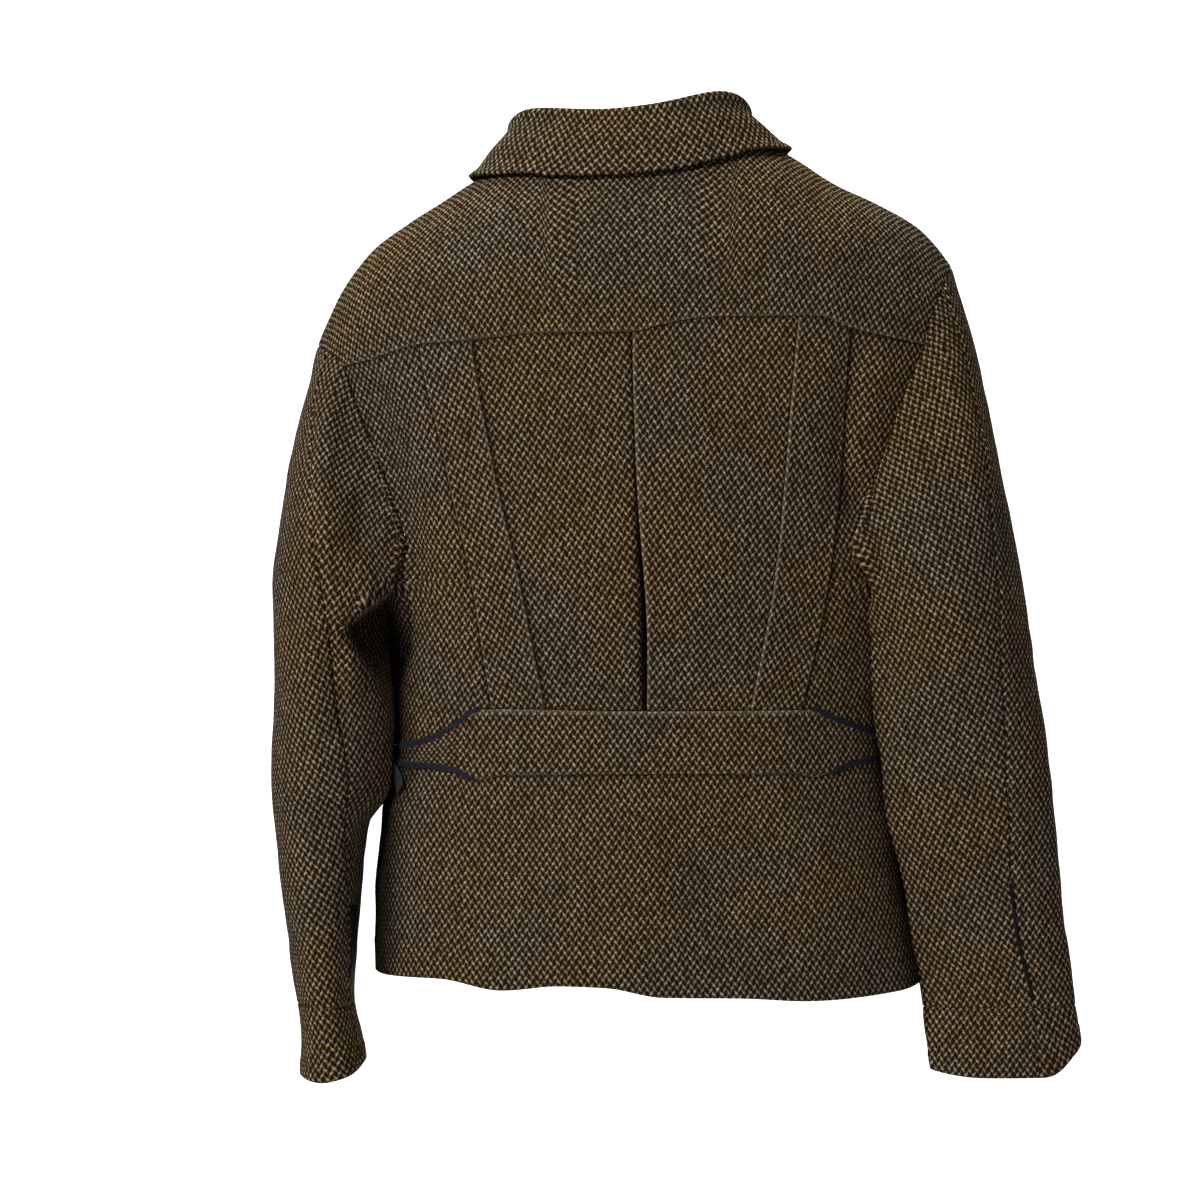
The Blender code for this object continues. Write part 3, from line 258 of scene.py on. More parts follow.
# ---- panels --------------------------------------------------------------------------------------
PATCHES = []
MARKS = ("welt", "hollow", "worn")  # of each point: how proud it stands, how dark its painted shade is, how bright its painted highlight is


def patch(name, grid, keep=None, thick=CLOTH, lift=0.0, shared=True, **marks):
    grid = np.array(grid, float)
    if keep is None:
        keep = np.ones((grid.shape[0] - 1, grid.shape[1] - 1), bool)
    entry = {"name": name, "grid": grid, "keep": keep, "thick": thick, "lift": lift, "shared": shared}
    for mark in MARKS:
        entry[mark] = marks.get(mark, np.zeros(grid.shape[:2]))
    PATCHES.append(entry)
    return grid


def along(grid, axis):
    """Arc length in millimetres along the rows (axis 1) or columns (axis 0) of a grid, from its first line."""
    steps = np.linalg.norm(np.diff(grid, axis=axis), axis=2)
    start = np.zeros((1, grid.shape[1]) if axis == 0 else (grid.shape[0], 1))
    return np.concatenate([start, np.cumsum(steps, axis=axis)], axis=axis)


def edge_gap(grid, side):
    """How far each point is from one edge of a panel: first_row, last_row, first_column or last_column."""
    axis = 0 if side.endswith("row") else 1
    gap = along(grid, axis)
    if side.startswith("last"):
        gap = (gap[-1:] if axis == 0 else gap[:, -1:]) - gap
    return gap


def welt_along(grid, side, high, wide=2.2):
    """A raised welt beside one edge of a panel."""
    fall = np.clip((wide + 1.6 - edge_gap(grid, side)) / 2.4, 0, 1)
    return high * fall * fall * (3 - 2 * fall)


def line_along(grid, side, high, wide):
    """A narrow band beside one edge of a panel, fading out."""
    return high * np.clip(1.35 - edge_gap(grid, side) / wide, 0, 1)


def key_of(point):
    return tuple(int(round(v * 500)) for v in point)


def quads_of(keep):
    """The corners of each kept cell of a grid, as numbers of its points."""
    across = keep.shape[1] + 1
    return [
        (i * across + j, i * across + j + 1, (i + 1) * across + j + 1, (i + 1) * across + j)
        for i, j in np.argwhere(keep).tolist()
    ]


def unit(vector):
    size = np.linalg.norm(vector)
    return vector / size if size > 1e-12 else vector


def split(values, parts):
    """Each span of a list cut into equal parts."""
    out = []
    for a, b in zip(values, values[1:]):
        out += [a + (b - a) * k / parts for k in range(parts)]
    return out + [values[-1]]


def edged(parts, width):
    """Shares across a panel, with close lines at its edges, so that they can be rounded over."""
    near = [0, 0.8 / width, 2.2 / width, 4.2 / width, 6.4 / width]
    between = [near[-1] + (1 - 2 * near[-1]) * k / parts for k in range(1, parts)]
    return near + between + [1 - share for share in reversed(near)]


# ---- the back ------------------------------------------------------------------------------------
SPANS = rows(  # across the back, each with its steps and about how wide it is
    "name steps width",
    ("side_left", 14, 75), ("strip_left", 7, 40), ("centre_left", 20, 120),
    ("centre_right", 20, 110), ("strip_right", 7, 40), ("side_right", 14, 75),
)
FOOT_ROWS = [  # closer and closer to the armhole's foot
    -292, -296, -299.5, -302.5, -305, -307.5, -309.5, -311, -312.5, -313.7, -314.7, -315.4, ARMHOLE_FOOT]
BACK_ROWS = (
    [-137, -138.4, -141] + split([-145, -185, -265, -288], 8) + FOOT_ROWS + [-318.5, -322]
    + split([-326, -404], 16) + [-407.5, -409.8, WAIST]
)
BAND_ROWS = [0, 0.03, 0.09] + split([0.18, 0.82], 6) + [0.91, 0.97, 1]
SKIRT_ROWS = [0, 0.009, 0.026] + split([0.05, 0.95], 28) + [0.975, 0.991, 1]


def back_seam_angle(which, z):
    """Angle of the seam between two spans: 0 is the left edge and 6 the right edge."""
    if which == 0:
        return edge_angle(1, z)
    if which == len(SPANS):
        return edge_angle(-1, z)
    z = max(z, WAIST)
    return angle_of(seam_at[SEAMS[which - 1]](z), z)


COLUMNS = []  # (span, share of the way across it)
for number, span in enumerate(SPANS):
    COLUMNS += [(number, share) for share in edged(span["steps"], span["width"])[:-1]]
COLUMNS.append((len(SPANS) - 1, 1.0))
SEAM_COLUMN = [k for k, (_, share) in enumerate(COLUMNS) if share == 0] + [len(COLUMNS) - 1]


def column_angle(column, z):
    span, share = column
    return back_seam_angle(span, z) * (1 - share) + back_seam_angle(span + 1, z) * share


def back_height(column, row):
    """Height of a row of the upper back at a column: along the seams above and below, level between."""
    first, last = BACK_ROWS[0], BACK_ROWS[-1]
    z = row
    for _ in range(8):
        x = torso(column_angle(column, z), z, False)[0]
        top = yoke_seam(x) - first
        low = waist_upper(x) - last
        z = row + top * ease(-245, first, row) + low * ease(ARMHOLE_FOOT, last, row)
    return z


def back_point(column, row):
    z = back_height(column, row)
    return torso(column_angle(column, z), z)


def waist_place(column):
    """The angle that a column keeps below the waist, and its x there."""
    z = back_height(column, BACK_ROWS[-1])
    angle = column_angle(column, z)
    return angle, torso(angle, z, False)[0]


def band_point(column, share):
    angle, x = waist_place(column)
    z = waist_upper(x) * (1 - share) + waist_lower(x) * share
    return torso(angle, z)


def skirt_point(column, share):
    angle, x = waist_place(column)
    bottom = hem(torso(angle, -615, False)[0])
    z = waist_lower(x) * (1 - share) + bottom * share
    return torso(angle, z)


upper_back = np.array([[back_point(column, row) for column in COLUMNS] for row in BACK_ROWS])
band = np.array([[band_point(column, share) for column in COLUMNS] for share in BAND_ROWS])
skirt = np.array([[skirt_point(column, share) for column in COLUMNS] for share in SKIRT_ROWS])


PLEAT_FOLD = [  # from the fold's edge: how far across, and the share of the way in
    (8, 0.0), (6, 0.02), (4.5, 0.07), (3.2, 0.16), (2.3, 0.28), (1.6, 0.43), (1.0, 0.6), (0.4, 0.77),
    (-0.4, 0.91),
    (-2, 0.99)] + [(-2 - (PLEAT_UNDER - 2) * k / 8, 1.0) for k in range(1, 9)]
PLEAT_DEEP = 9.0  # how far in the cloth under the pleat lies where the pleat stands open
BACK_WELTS = {  # which edge is raised, and how high
    "side_left": [("last_column", 0)], "strip_left": [("first_column", 1.0), ("last_column", 1.0)],
    "centre_left": [("first_column", 0)], "centre_right": [("first_column", 0.7)],
    "strip_right": [("first_column", 1.0), ("last_column", 1.0)], "side_right": [("first_column", 0)],
}
BACK_SEAM_SHADOWS = {  # painted shadow on the dark side of each seam: which edge, how dark, how wide
    "side_left": [("last_column", 0.5, 2.0)], "strip_left": [], "centre_left": [("first_column", 0.75, 3.6)],
    "centre_right": [("last_column", 0.3, 1.5)], "strip_right": [], "side_right": [("first_column", 0.7, 3.2)],
}


def pleat_lines(column):
    """The fold at the pleat and the cloth that goes under it, a line of points for each row of the back."""
    lines = []
    for row in BACK_ROWS:
        z = back_height(column, row)
        fold = torso(column_angle(column, z), z, False)[0]
        deep = PLEAT_STEP + (PLEAT_DEEP - PLEAT_STEP) * bump(row, -350, 75)
        lines.append([torso(angle_of(fold + reach, z), z) - [0, deep * step, 0] for reach, step in PLEAT_FOLD])
    return np.array(lines)


def make_back():
    for number, span in enumerate(SPANS):
        name = span["name"]
        a, b = SEAM_COLUMN[number], SEAM_COLUMN[number + 1]
        grid = upper_back[:, a : b + 1].copy()
        if name == "centre_left":
            grid = np.concatenate([grid[:, :-5], pleat_lines(COLUMNS[b])], axis=1)
        if name == "centre_right":
            fade = np.clip(1 - along(grid, 1) / 30, 0, 1) ** 1.5
            opened = np.array([PLEAT_OPEN * bump(row, -345, 70) for row in BACK_ROWS])[:, None] * fade
            grid[..., 0] -= opened
            grid[..., 1] += 0.4 * opened
        none = np.zeros(grid.shape[:2])
        welt = sum(welt_along(grid, edge, high) for edge, high in BACK_WELTS[name])
        # painted shadow beside the seams, under the yoke's lapped edge and above the waistband
        seam_shadow = sum((line_along(grid, edge, dark, wide) for edge, dark, wide in BACK_SEAM_SHADOWS[name]), none)
        seam_shadow = seam_shadow + line_along(grid, "first_row", 0.5, 2.6) + line_along(grid, "last_row", 0.3, 1.6)
        seam_shadow = np.minimum(0.9, seam_shadow)
        # painted highlight along each raised seam edge, where a lapped edge catches the light
        worn = sum((line_along(grid, edge, 0.62 * (high > 0), 1.5) for edge, high in BACK_WELTS[name]), none)
        # painted shade in the pleat's gap, darker where the cloth goes further under
        if name == "centre_left":
            under = seam_shadow[:, -len(PLEAT_FOLD) :]
            under[:] = np.maximum(under, [0.9 * step**1.5 for _, step in PLEAT_FOLD])
        patch(f"back_{name}", grid[::-1], welt=welt[::-1], hollow=seam_shadow[::-1], worn=worn[::-1])
    welt = welt_along(band, "first_row", 1.1, 3) + welt_along(band, "last_row", 0.7, 3)
    # painted highlight along the waistband's raised edges
    worn = line_along(band, "first_row", 0.7, 1.7) + line_along(band, "last_row", 0.3, 1.3)
    patch("back_waistband", band[::-1], welt=welt[::-1], worn=worn[::-1])
    # painted shadow just below the waistband's edge
    welt, seam_shadow = welt_along(skirt, "last_row", 0.5, 24), line_along(skirt, "first_row", 0.7, 2.0)
    patch("back_skirt", skirt[::-1], welt=welt[::-1], hollow=seam_shadow[::-1])


# ---- the yoke ------------------------------------------------------------------------------------
YOKE_RISE = [0, 0.7, 2.1] + split([4, 14, 30, 46, 62, 76, 90], 5)  # degrees, back seam to shoulder line
CROWN = len(YOKE_RISE) - 1  # the yoke's row on the shoulder line
YOKE_FRONT = 12  # rows from there down to the front seam
NECK_COLUMNS = 16
FRONT_RISE = [1, 0.99, 0.97] + split([0.94, 0], 14)  # share of the way from the chest line up to the top edge
FRONT_ROWS = split([-141, -288], 24) + FOOT_ROWS
yoke_top_x = [float(p[0]) for p in upper_back[0]]
neck_left, neck_right = (
    min(range(len(COLUMNS)), key=lambda k: abs(yoke_top_x[k] - corner)) for corner in (NECK_LEFT, NECK_RIGHT))
shoulder_columns = {1: neck_left, -1: len(COLUMNS) - 1 - neck_right}


def shoulder_x(number):
    """x at the shoulder line of a yoke column, with the neck's corners on their columns."""
    near, far, start, end = neck_left, neck_right, NECK_HALF, -NECK_HALF
    if number <= neck_left:
        far, end = 0, SHOULDER_LEFT
    elif number >= neck_right:
        near, far, start, end = neck_right, -1, -NECK_HALF, SHOULDER_RIGHT
    share = (yoke_top_x[number] - yoke_top_x[near]) / (yoke_top_x[far] - yoke_top_x[near])
    return start + share * (end - start)


def over_shoulder(foot, top, degrees):
    """On the way from a point, at 0 degrees, up to the shoulder line at this x, at 90."""
    rise = math.radians(degrees)
    return np.array([
        foot[0] + (top - foot[0]) * math.sin(rise) ** 1.5,
        foot[1] * math.cos(rise),
        foot[2] + (ridge(top) - foot[2]) * math.sin(rise),
    ])


def neck_degrees(number):
    """How far up its column the neckline lies."""
    x = shoulder_x(number)
    depth = NECK_BACK * math.sqrt(max(0.0, 1 - (x / NECK_HALF) ** 2))
    return math.degrees(math.acos(min(1.0, depth / upper_back[0][number][1])))


def front_x(side, number):
    """x of a front column at the chest line."""
    corner = side * NECK_CORNER
    if number >= NECK_COLUMNS:
        outer = torso(edge_angle(side, CHEST, True), CHEST, False)[0]
        return corner + (number - NECK_COLUMNS) / shoulder_columns[side] * (outer - corner)
    inner = -side * FRONT_LAP
    return inner + (corner - inner) * number / NECK_COLUMNS


def front_shoulder_point(side, number, degrees):
    """Down the front from the shoulder line (90) to the chest line (0)."""
    x, step = front_x(side, number), number - NECK_COLUMNS
    if step >= 0:
        top = shoulder_x(neck_left - step if side > 0 else neck_right + step)
    else:
        top = x * NECK_HALF / NECK_CORNER
    return over_shoulder(torso(angle_of(x, CHEST, True), CHEST, False), top, degrees)


def front_top_degrees(side, number):
    """The top edge of a front: the yoke seam outside the neck, the neckline inside it."""
    low = front_shoulder_point(side, number, 0)
    if number >= NECK_COLUMNS:
        reach = FRONT_SEAM_REACH * (1 - 0.35 * (number - NECK_COLUMNS) / shoulder_columns[side])
        return math.degrees(math.acos(min(1.0, reach / abs(low[1]))))
    corner = front_shoulder_point(side, NECK_COLUMNS, front_top_degrees(side, NECK_COLUMNS))[2]
    height = NECK_FRONT + (corner - NECK_FRONT) * (abs(low[0]) / NECK_CORNER) ** 2.2
    crown = ridge(low[0] * NECK_HALF / NECK_CORNER)
    return math.degrees(math.asin(min(1.0, (height - low[2]) / (crown - low[2]))))


def side_rows(side):
    """Heights on the side seam, from the armhole's foot to the hem, as the back has them."""
    column = 0 if side > 0 else -1
    panels = (upper_back[BACK_ROWS.index(ARMHOLE_FOOT) :], band[1:], skirt[1:])
    return [float(p[2]) for panel in panels for p in panel[:, column]]


def from_centre(side, angle):
    """An angle on the front, measured from the centre front towards one side."""
    return math.pi - abs(angle) if angle * side > 0 else abs(angle) - math.pi


def front_grid(side):
    columns = range(NECK_COLUMNS + shoulder_columns[side] + 1)
    tops = [front_top_degrees(side, k) for k in columns]
    grid = [[front_shoulder_point(side, k, tops[k] * share) for k in columns] for share in FRONT_RISE]
    chest = [from_centre(side, angle_of(front_x(side, k), CHEST, True)) for k in columns]
    edge = from_centre(side, edge_angle(side, CHEST, True))
    heights = FRONT_ROWS + side_rows(side)[1:]
    for z in heights:
        outer = from_centre(side, edge_angle(side, z, True))
        inner = from_centre(side, angle_of(-side * FRONT_LAP + ring(z)[0], z, True))
        line = []
        for a in chest:
            share = (a - chest[0]) / (edge - chest[0])
            turn = inner + share * (outer - inner)
            drop = FRONT_DROP[side] * (1 - share) ** 1.3 * ease(ARMHOLE_FOOT, heights[-1], z)
            line.append(torso(side * (math.pi - turn), z - drop))
        grid.append(line)
    grid = np.array(grid)
    if side < 0:
        grid[..., 1] += LAP_STEP * np.array([[ease(-42, -16, p[0]) for p in line] for line in grid])
    return grid


def make_yoke():
    grid = np.zeros((len(YOKE_RISE) + YOKE_FRONT, len(COLUMNS), 3))
    keep = np.zeros((grid.shape[0] - 1, grid.shape[1] - 1), bool)
    for k in range(len(COLUMNS)):
        inside = neck_left < k < neck_right
        crown = neck_degrees(k) if inside else 90
        for i, degrees in enumerate(YOKE_RISE):
            grid[i, k] = over_shoulder(upper_back[0][k], shoulder_x(k), degrees * crown / 90)
        if inside:
            continue
        side = 1 if k <= neck_left else -1
        number = NECK_COLUMNS + (neck_left - k if side > 0 else k - neck_right)
        last = front_top_degrees(side, number)
        for i in range(YOKE_FRONT):
            degrees = 90 + (last - 90) * (i + 1) / YOKE_FRONT
            grid[len(YOKE_RISE) + i, k] = front_shoulder_point(side, number, degrees)
    keep[:CROWN] = True
    keep[CROWN:, :neck_left] = True
    keep[CROWN:, neck_right:] = True
    for line, degrees in zip(grid, YOKE_RISE):
        for p in line:
            p[1] += fold_rise(BACK_FOLDS, p[0], p[2]) * ease(20, 60, p[1]) * ease(0, 30, degrees)
    # painted highlight along the yoke's raised lower edge
    welt, worn = welt_along(grid, "first_row", 1.1, 3.4), line_along(grid, "first_row", 0.5, 1.6)
    return patch("back_yoke", grid, keep, welt=welt, worn=worn)


# ---- the sleeves ---------------------------------------------------------------------------------
SLEEVE = {  # rings: middle, half width, depth, where the back seam lies and how far the columns turn
    -1: rows(
        "z x y half depth seam turn",
        (-345, -227, 42, 64, 62, 52, 0),
        (-409, -239.5, 44, 61.5, 47, 60, 0),
        (-454, -246, 44, 61, 40, 65, 0),
        (-499, -253, 44, 60, 34, 68, 0),
        (-544, -259, 41, 58, 31, 71, 0),
        (-589, -265, 38, 57, 28, 70, 0),
        (-619, -270, 36, 56, 26, 66, 0),
        (-637, -271, 35, 57, 26, 64, 0),
        (-664, -272, 34, 60.5, 27, 62, 0),
        (-700, -273, 33, 62, 28, 60, 0),
    ),
    1: rows(
        "z x y half depth seam turn",
        (-345, 231, 34, 45, 67, 88, 10),
        (-409, 236.5, 30, 40.5, 60, 104, 25),
        (-454, 236, 26, 41, 58, 114, 30),
        (-499, 240.5, 18, 35.5, 58, 124, 35),
        (-544, 242, 12, 29.5, 58, 134, 40),
        (-589, 241, 8, 25.5, 58, 146, 45),
        (-619, 240, 5, 22.5, 57, 150, 48),
        (-637, 238, 4, 21.5, 57, 150, 48),
        (-664, 233.5, 2, 22.5, 59, 150, 48),
        (-700, 230, 0, 27, 60, 150, 48),
    ),
}
SLEEVE_TOP, CUFF_SEAM = -345, -637
SLEEVE_POWER = 2.1  # power of the sleeves' rings
BACK_SEAM_STEP = 15  # the sleeve's back seam starts this many points behind the shoulder line
FRONT_SEAM_TURN = 272
SLEEVE_ROWS = split([SLEEVE_TOP, -385], 20) + split([-391, -629], 38) + [-633, -635.6, CUFF_SEAM]
CUFF_ROWS = [0, 0.028, 0.08] + split([0.15, 0.85], 8) + [0.92, 0.972, 1]
LOFT = [0, 0.012, 0.03] + split([0.055, 0.1, 0.22], 6) + split([0.24, 0.6, 1], 16)
CUFF_FOOT = {  # height of the cuff's lower edge round the wrist, in degrees from its outer side
    -1: rows(
        "turn z", (0, -664), (25, -674), (60, -690), (100, -690), (180, -682), (250, -684), (320, -672),
        (360, -664),
    ),
    1: rows("turn z", (0, -690), (70, -694), (110, -690), (180, -680), (260, -686), (360, -690)),
}
STRAP_ROOM = 5.0  # more room for a sleeve to pass the strap
SLEEVE_CLEAR = 2.4  # kept between a sleeve's middle surface and the torso's
SETTING_OUT = rows(  # which way the sleeve leaves the armhole, and how hard it pulls
    "turn side back up pull",
    (0, 0.27, 0.0, -0.96, 0.9), (45, 0.42, 0.25, -0.87, 0.95), (90, 0.6, 0.34, -0.72, 0.9),
    (140, 0.8, 0.4, -0.45, 0.8),
    (180, 0.95, 0.0, -0.3, 0.7), (220, 0.85, -0.35, -0.4, 0.8), (270, 0.7, -0.32, -0.63, 0.9),
    (315, 0.48, -0.2, -0.85, 0.95),
    (360, 0.27, 0.0, -0.96, 0.9),
)
setting = {name: curve(SETTING_OUT, "turn", name) for name in ("side", "back", "up", "pull")}
sleeve_at = {
    side: {name: curve(SLEEVE[side], "z", name) for name in ("x", "y", "half", "depth", "seam", "turn")}
    for side in (1, -1)
}
cuff_foot = {side: curve(CUFF_FOOT[side], "turn", "z") for side in (1, -1)}
SLEEVE_FOLDS = {  # on the side that faces back, as for the body
    1: rows(
        "x0 z0 x1 z1 width depth", (232, -362, 222, -428, 9, 7), (226, -312, 246, -225, 20, -4),
        (214, -296, 206, -250, 12, 5), (250, -480, 222, -500, 16, 3), (262, -300, 258, -380, 18, 3),
    ),
    -1: rows("x0 z0 x1 z1 width depth", (-200, -420, -262, -470, 18, 4), (-210, -300, -190, -380, 20, 4)),
}
CLOSE_UP = {  # how much nearer the body the sleeve's inner side lies
    1: rows("z x", (-345, 0), (-380, 6), (-420, 10), (-455, 9), (-472, 10), (-486, 6), (-500, 0), (-640, 0)),
    -1: rows("z x", (-345, 0), (-380, 4), (-420, 8), (-470, 8), (-560, 6), (-620, 3), (-640, 0)),
}
close_up = {side: curve(CLOSE_UP[side], "z", "x") for side in (1, -1)}


def clear_of_torso(point, margin):
    """The point moved out, if need be, until it is this far outside the torso."""
    middle, half, back, front = ring(point[2])
    x = point[0] - middle
    depth = back if point[1] > 0 else front
    size = abs(x / (half + margin)) ** BOXINESS + abs(point[1] / (depth + margin)) ** BOXINESS
    size **= 1 / BOXINESS
    if size >= 1 or size < 1e-6:
        return point
    return np.array([middle + x / size, point[1] / size, point[2]])


FLAP_START, FLAP_END = (226, -351), (181, -320)  # the slanting line that the left sleeve's cloth folds over
FLAP_FOLD, FLAP_WIDTH, FLAP_OUT, FLAP_IN = 10.5, 13.0, 10.0, 22.0
FLAP_LENGTH = math.hypot(FLAP_END[0] - FLAP_START[0], FLAP_END[1] - FLAP_START[1])
FLAP_WAY = ((FLAP_END[0] - FLAP_START[0]) / FLAP_LENGTH, (FLAP_END[1] - FLAP_START[1]) / FLAP_LENGTH)
pocket_edge = curve(rows("z x", (-340, 224), (-358, 218), (-373, 210), (-397, 198), (-430, 193)), "z", "x")


def flap_place(point):
    """How far along the flap's line a point lies, and how far above it."""
    x, z = point[0] - FLAP_START[0], point[2] - FLAP_START[1]
    tx, tz = FLAP_WAY
    return x * tx + z * tz, x * tz - z * tx


def flap(point, turn):
    """The left sleeve's cloth folds over itself behind the arm: above the line it hangs out over a pocket."""
    run, above = flap_place(point)
    reach = ease(58, 85, turn) * ease(222, 190, turn)
    share = ease(-16, 18, run) * ease(FLAP_LENGTH + 22, FLAP_LENGTH - 8, run) * reach
    share = max(share, ease(0, -26, above) * ease(-4, 14, run) * reach)
    if share <= 0 or above > 60 or above < -110:
        return point
    slide = -FLAP_FOLD * (above / FLAP_WIDTH) * bump(above, 0, FLAP_WIDTH) * share
    low = 1 / (1 + math.exp(max(-30.0, min(30.0, above / 2.4))))
    pocket = ease(1, -8, point[0] - pocket_edge(point[2])) * ease(-428, -385, point[2])
    deep = FLAP_OUT * (1 - low) * bump(above, 6, 20) - FLAP_IN * low * pocket
    return point + np.array([FLAP_WAY[1] * slide, deep * share, -FLAP_WAY[0] * slide])


def sleeve_ring(side, turn, z):
    """A point of the sleeve's ring: 0 degrees faces away from the body, 90 faces back."""
    size = {name: at(z) for name, at in sleeve_at[side].items()}
    a = math.radians(turn)
    x = size["x"] + side * size["half"] * signed_power(math.cos(a), 2 / SLEEVE_POWER)
    y = size["y"] + size["depth"] * signed_power(math.sin(a), 2 / SLEEVE_POWER)
    return np.array([x, y, z])


def turned(side, turn, seam_turn, z):
    """The ring angle of a column, with the back seam's column carried to where the photograph has it."""
    to, shift = sleeve_at[side]["seam"](z), sleeve_at[side]["turn"](z)
    knots = ((0, shift), (seam_turn, to), (180, 180 + 0.6 * shift), (360, 360 + shift))
    for (a, at_a), (b, at_b) in zip(knots, knots[1:]):
        if turn <= b + 1e-9:
            return at_a + (at_b - at_a) * (turn - a) / (b - a)
    return turn


def loft_point(side, turn, s, start, end, beyond):
    """A point of the sleeve's head, this share of the way from the armhole to the sleeve's first ring."""
    reach = float(np.linalg.norm(end - start))
    leave = unit(np.array([side * setting["side"](turn), setting["back"](turn), setting["up"](turn)]))
    middle, half, back, _ = ring(start[2])
    square = unit(np.array([(start[0] - middle) / half**2, start[1] / back**2, 0.0]))
    foot = ease(70, 25, abs(turn - 180))
    leave = unit(leave * (1 - foot) + square * foot) * reach * (setting["pull"](turn) + 0.3 * foot)
    arrive = unit(beyond - end) * reach
    point = (
        (1 + 2 * s) * (1 - s) ** 2 * start + s * (1 - s) ** 2 * leave
        + s * s * (3 - 2 * s) * end - s * s * (1 - s) * arrive
    )
    if s == 0:
        return point
    if point[2] < -150:
        away = float(np.linalg.norm(point - start))
        point = clear_of_torso(point, min(SLEEVE_CLEAR, 0.6 + 1.25 * away) * ease(-150, -260, point[2]))
    if point[1] > 30:
        point[1] += fold_rise(SLEEVE_FOLDS[side], point[0], point[2]) * ease(0, 0.3, s)
    if side > 0 and point[2] < -250:
        point = clear_of_torso(flap(point, turn), 1.5 * ease(0, 0.1, s))
    return point


def sleeve_point(side, angle, z):
    point = sleeve_ring(side, angle, z)
    point[1] += fold_rise(SLEEVE_FOLDS[side], point[0], point[2]) * ease(20, 70, angle) * ease(205, 160, angle)
    point[0] -= side * close_up[side](z) * ease(120, 168, angle) * ease(290, 235, angle)
    if side > 0:
        point = flap(point, angle)
    return clear_of_torso(point, SLEEVE_CLEAR + STRAP_ROOM * bump(z, -455, 22))


def sleeve_grid(side, loop, turns):
    """A sleeve from the armhole to the cuff's seam, and its cuff, as grids that run round the arm."""
    def angles(z):
        return [turned(side, turn, turns[BACK_SEAM_STEP], z) for turn in turns]

    ends, beyond = ([sleeve_ring(side, angle, z) for angle in angles(z)] for z in (SLEEVE_TOP, SLEEVE_TOP - 6))
    grid = [[loft_point(side, turn, s, *ways) for turn, *ways in zip(turns, loop, ends, beyond)] for s in LOFT]
    grid += [[sleeve_point(side, angle, z) for angle in angles(z)] for z in SLEEVE_ROWS[1:]]
    cuff = []
    for share in CUFF_ROWS:
        line = []
        for angle in angles(CUFF_SEAM):
            z = CUFF_SEAM * (1 - share) + cuff_foot[side](angle % 360) * share
            line.append(clear_of_torso(sleeve_ring(side, angle, z), SLEEVE_CLEAR))
        cuff.append(line)
    return np.array(grid), np.array(cuff)


def armhole_loop(side, yoke):
    """Points round the armhole and their turns: over the shoulder, down the back and up the front."""
    column = 0 if side > 0 else -1
    foot = BACK_ROWS.index(ARMHOLE_FOOT)
    front_foot = len(FRONT_RISE) + FRONT_ROWS.index(ARMHOLE_FOOT)
    back = np.concatenate([yoke[CROWN:0:-1, column], upper_back[: foot + 1, column]])
    points = np.concatenate([back, FRONTS[side][:front_foot, -1][::-1], yoke[CROWN:-1, column][::-1]])
    lengths = np.concatenate([[0], np.cumsum(np.linalg.norm(np.diff(points, axis=0), axis=1))])
    under = len(back) - 1
    half, rest = lengths[under], lengths[-1] - lengths[under]
    turns = [180 * at / half if k <= under else 180 + 180 * (at - half) / rest for k, at in enumerate(lengths)]
    return points, turns


def make_sleeves(yoke):
    grids = {}
    for side, word in SIDES:
        loop, turns = armhole_loop(side, yoke)
        grid, cuff = sleeve_grid(side, loop, turns)
        front = min(range(len(turns)), key=lambda k: abs(turns[k] - FRONT_SEAM_TURN))
        top = np.concatenate([grid[:, front:], grid[:, 1 : BACK_SEAM_STEP + 1]], axis=1)
        patch("top_sleeve_" + word, top, welt=welt_along(top, "last_column", 0.7, 5))
        patch("under_sleeve_" + word, grid[:, BACK_SEAM_STEP : front + 1])
        around = np.concatenate([cuff[:, BACK_SEAM_STEP:], cuff[:, 1 : BACK_SEAM_STEP + 1]], axis=1)
        onward = around[:, -1] - around[:, -2]
        onward /= np.linalg.norm(onward, axis=1)[:, None]
        sunk = np.cross(onward, [0, 0, 1])
        sunk *= np.where((sunk * (around[:, -1] - around.mean(axis=1))).sum(axis=1) > 0, -1, 1)[:, None]
        lap = around[:, -1] + 1.6 * onward + 1.1 * sunk  # goes under the other end, so that the seam shuts
        around = np.concatenate([around, lap[:, None]], axis=1)
        patch("cuff_" + word, around, welt=welt_along(around, "last_row", 0.6, 12))
        grids[side] = grid
    return grids


# ---- the collar ----------------------------------------------------------------------------------
COLLAR_TURNS = [-171, -170.4, -169] + split([-167, 167], 150) + [169, 170.4, 171]
COLLAR_LINES = split([0, 9], 54) + [8.94, 8.98]  # read off between the ten lines of collar_line
COLLAR = {  # the roll and the fall's edge in plan: reach left, right, back and front, and the shift sideways
    "roll": (93, 84, 65, 86, 3),
    "fall": (123, 122, 85, 112, 6.5),
}
roll_height = curve(rows("turn z", (0, 43), (60, 41), (90, 34), (130, 2), (171, -32)), "turn", "z")
ROLL_UNEVEN = ((-4.5, 8, 30), (6, -50, 26), (2.5, 58, 24))  # how high, at which turn and how wide
STAND_INSIDE, COLLAR_CLEAR, FALL_LOW = 7.0, 6.0, -95


def collar_plan(name, degrees):
    left, right, back, front, shift = COLLAR[name]
    a = math.radians(degrees)
    across, deep = left if a > 0 else right, back if abs(degrees) < 90 else front
    return shift + across * math.sin(a), deep * math.cos(a)


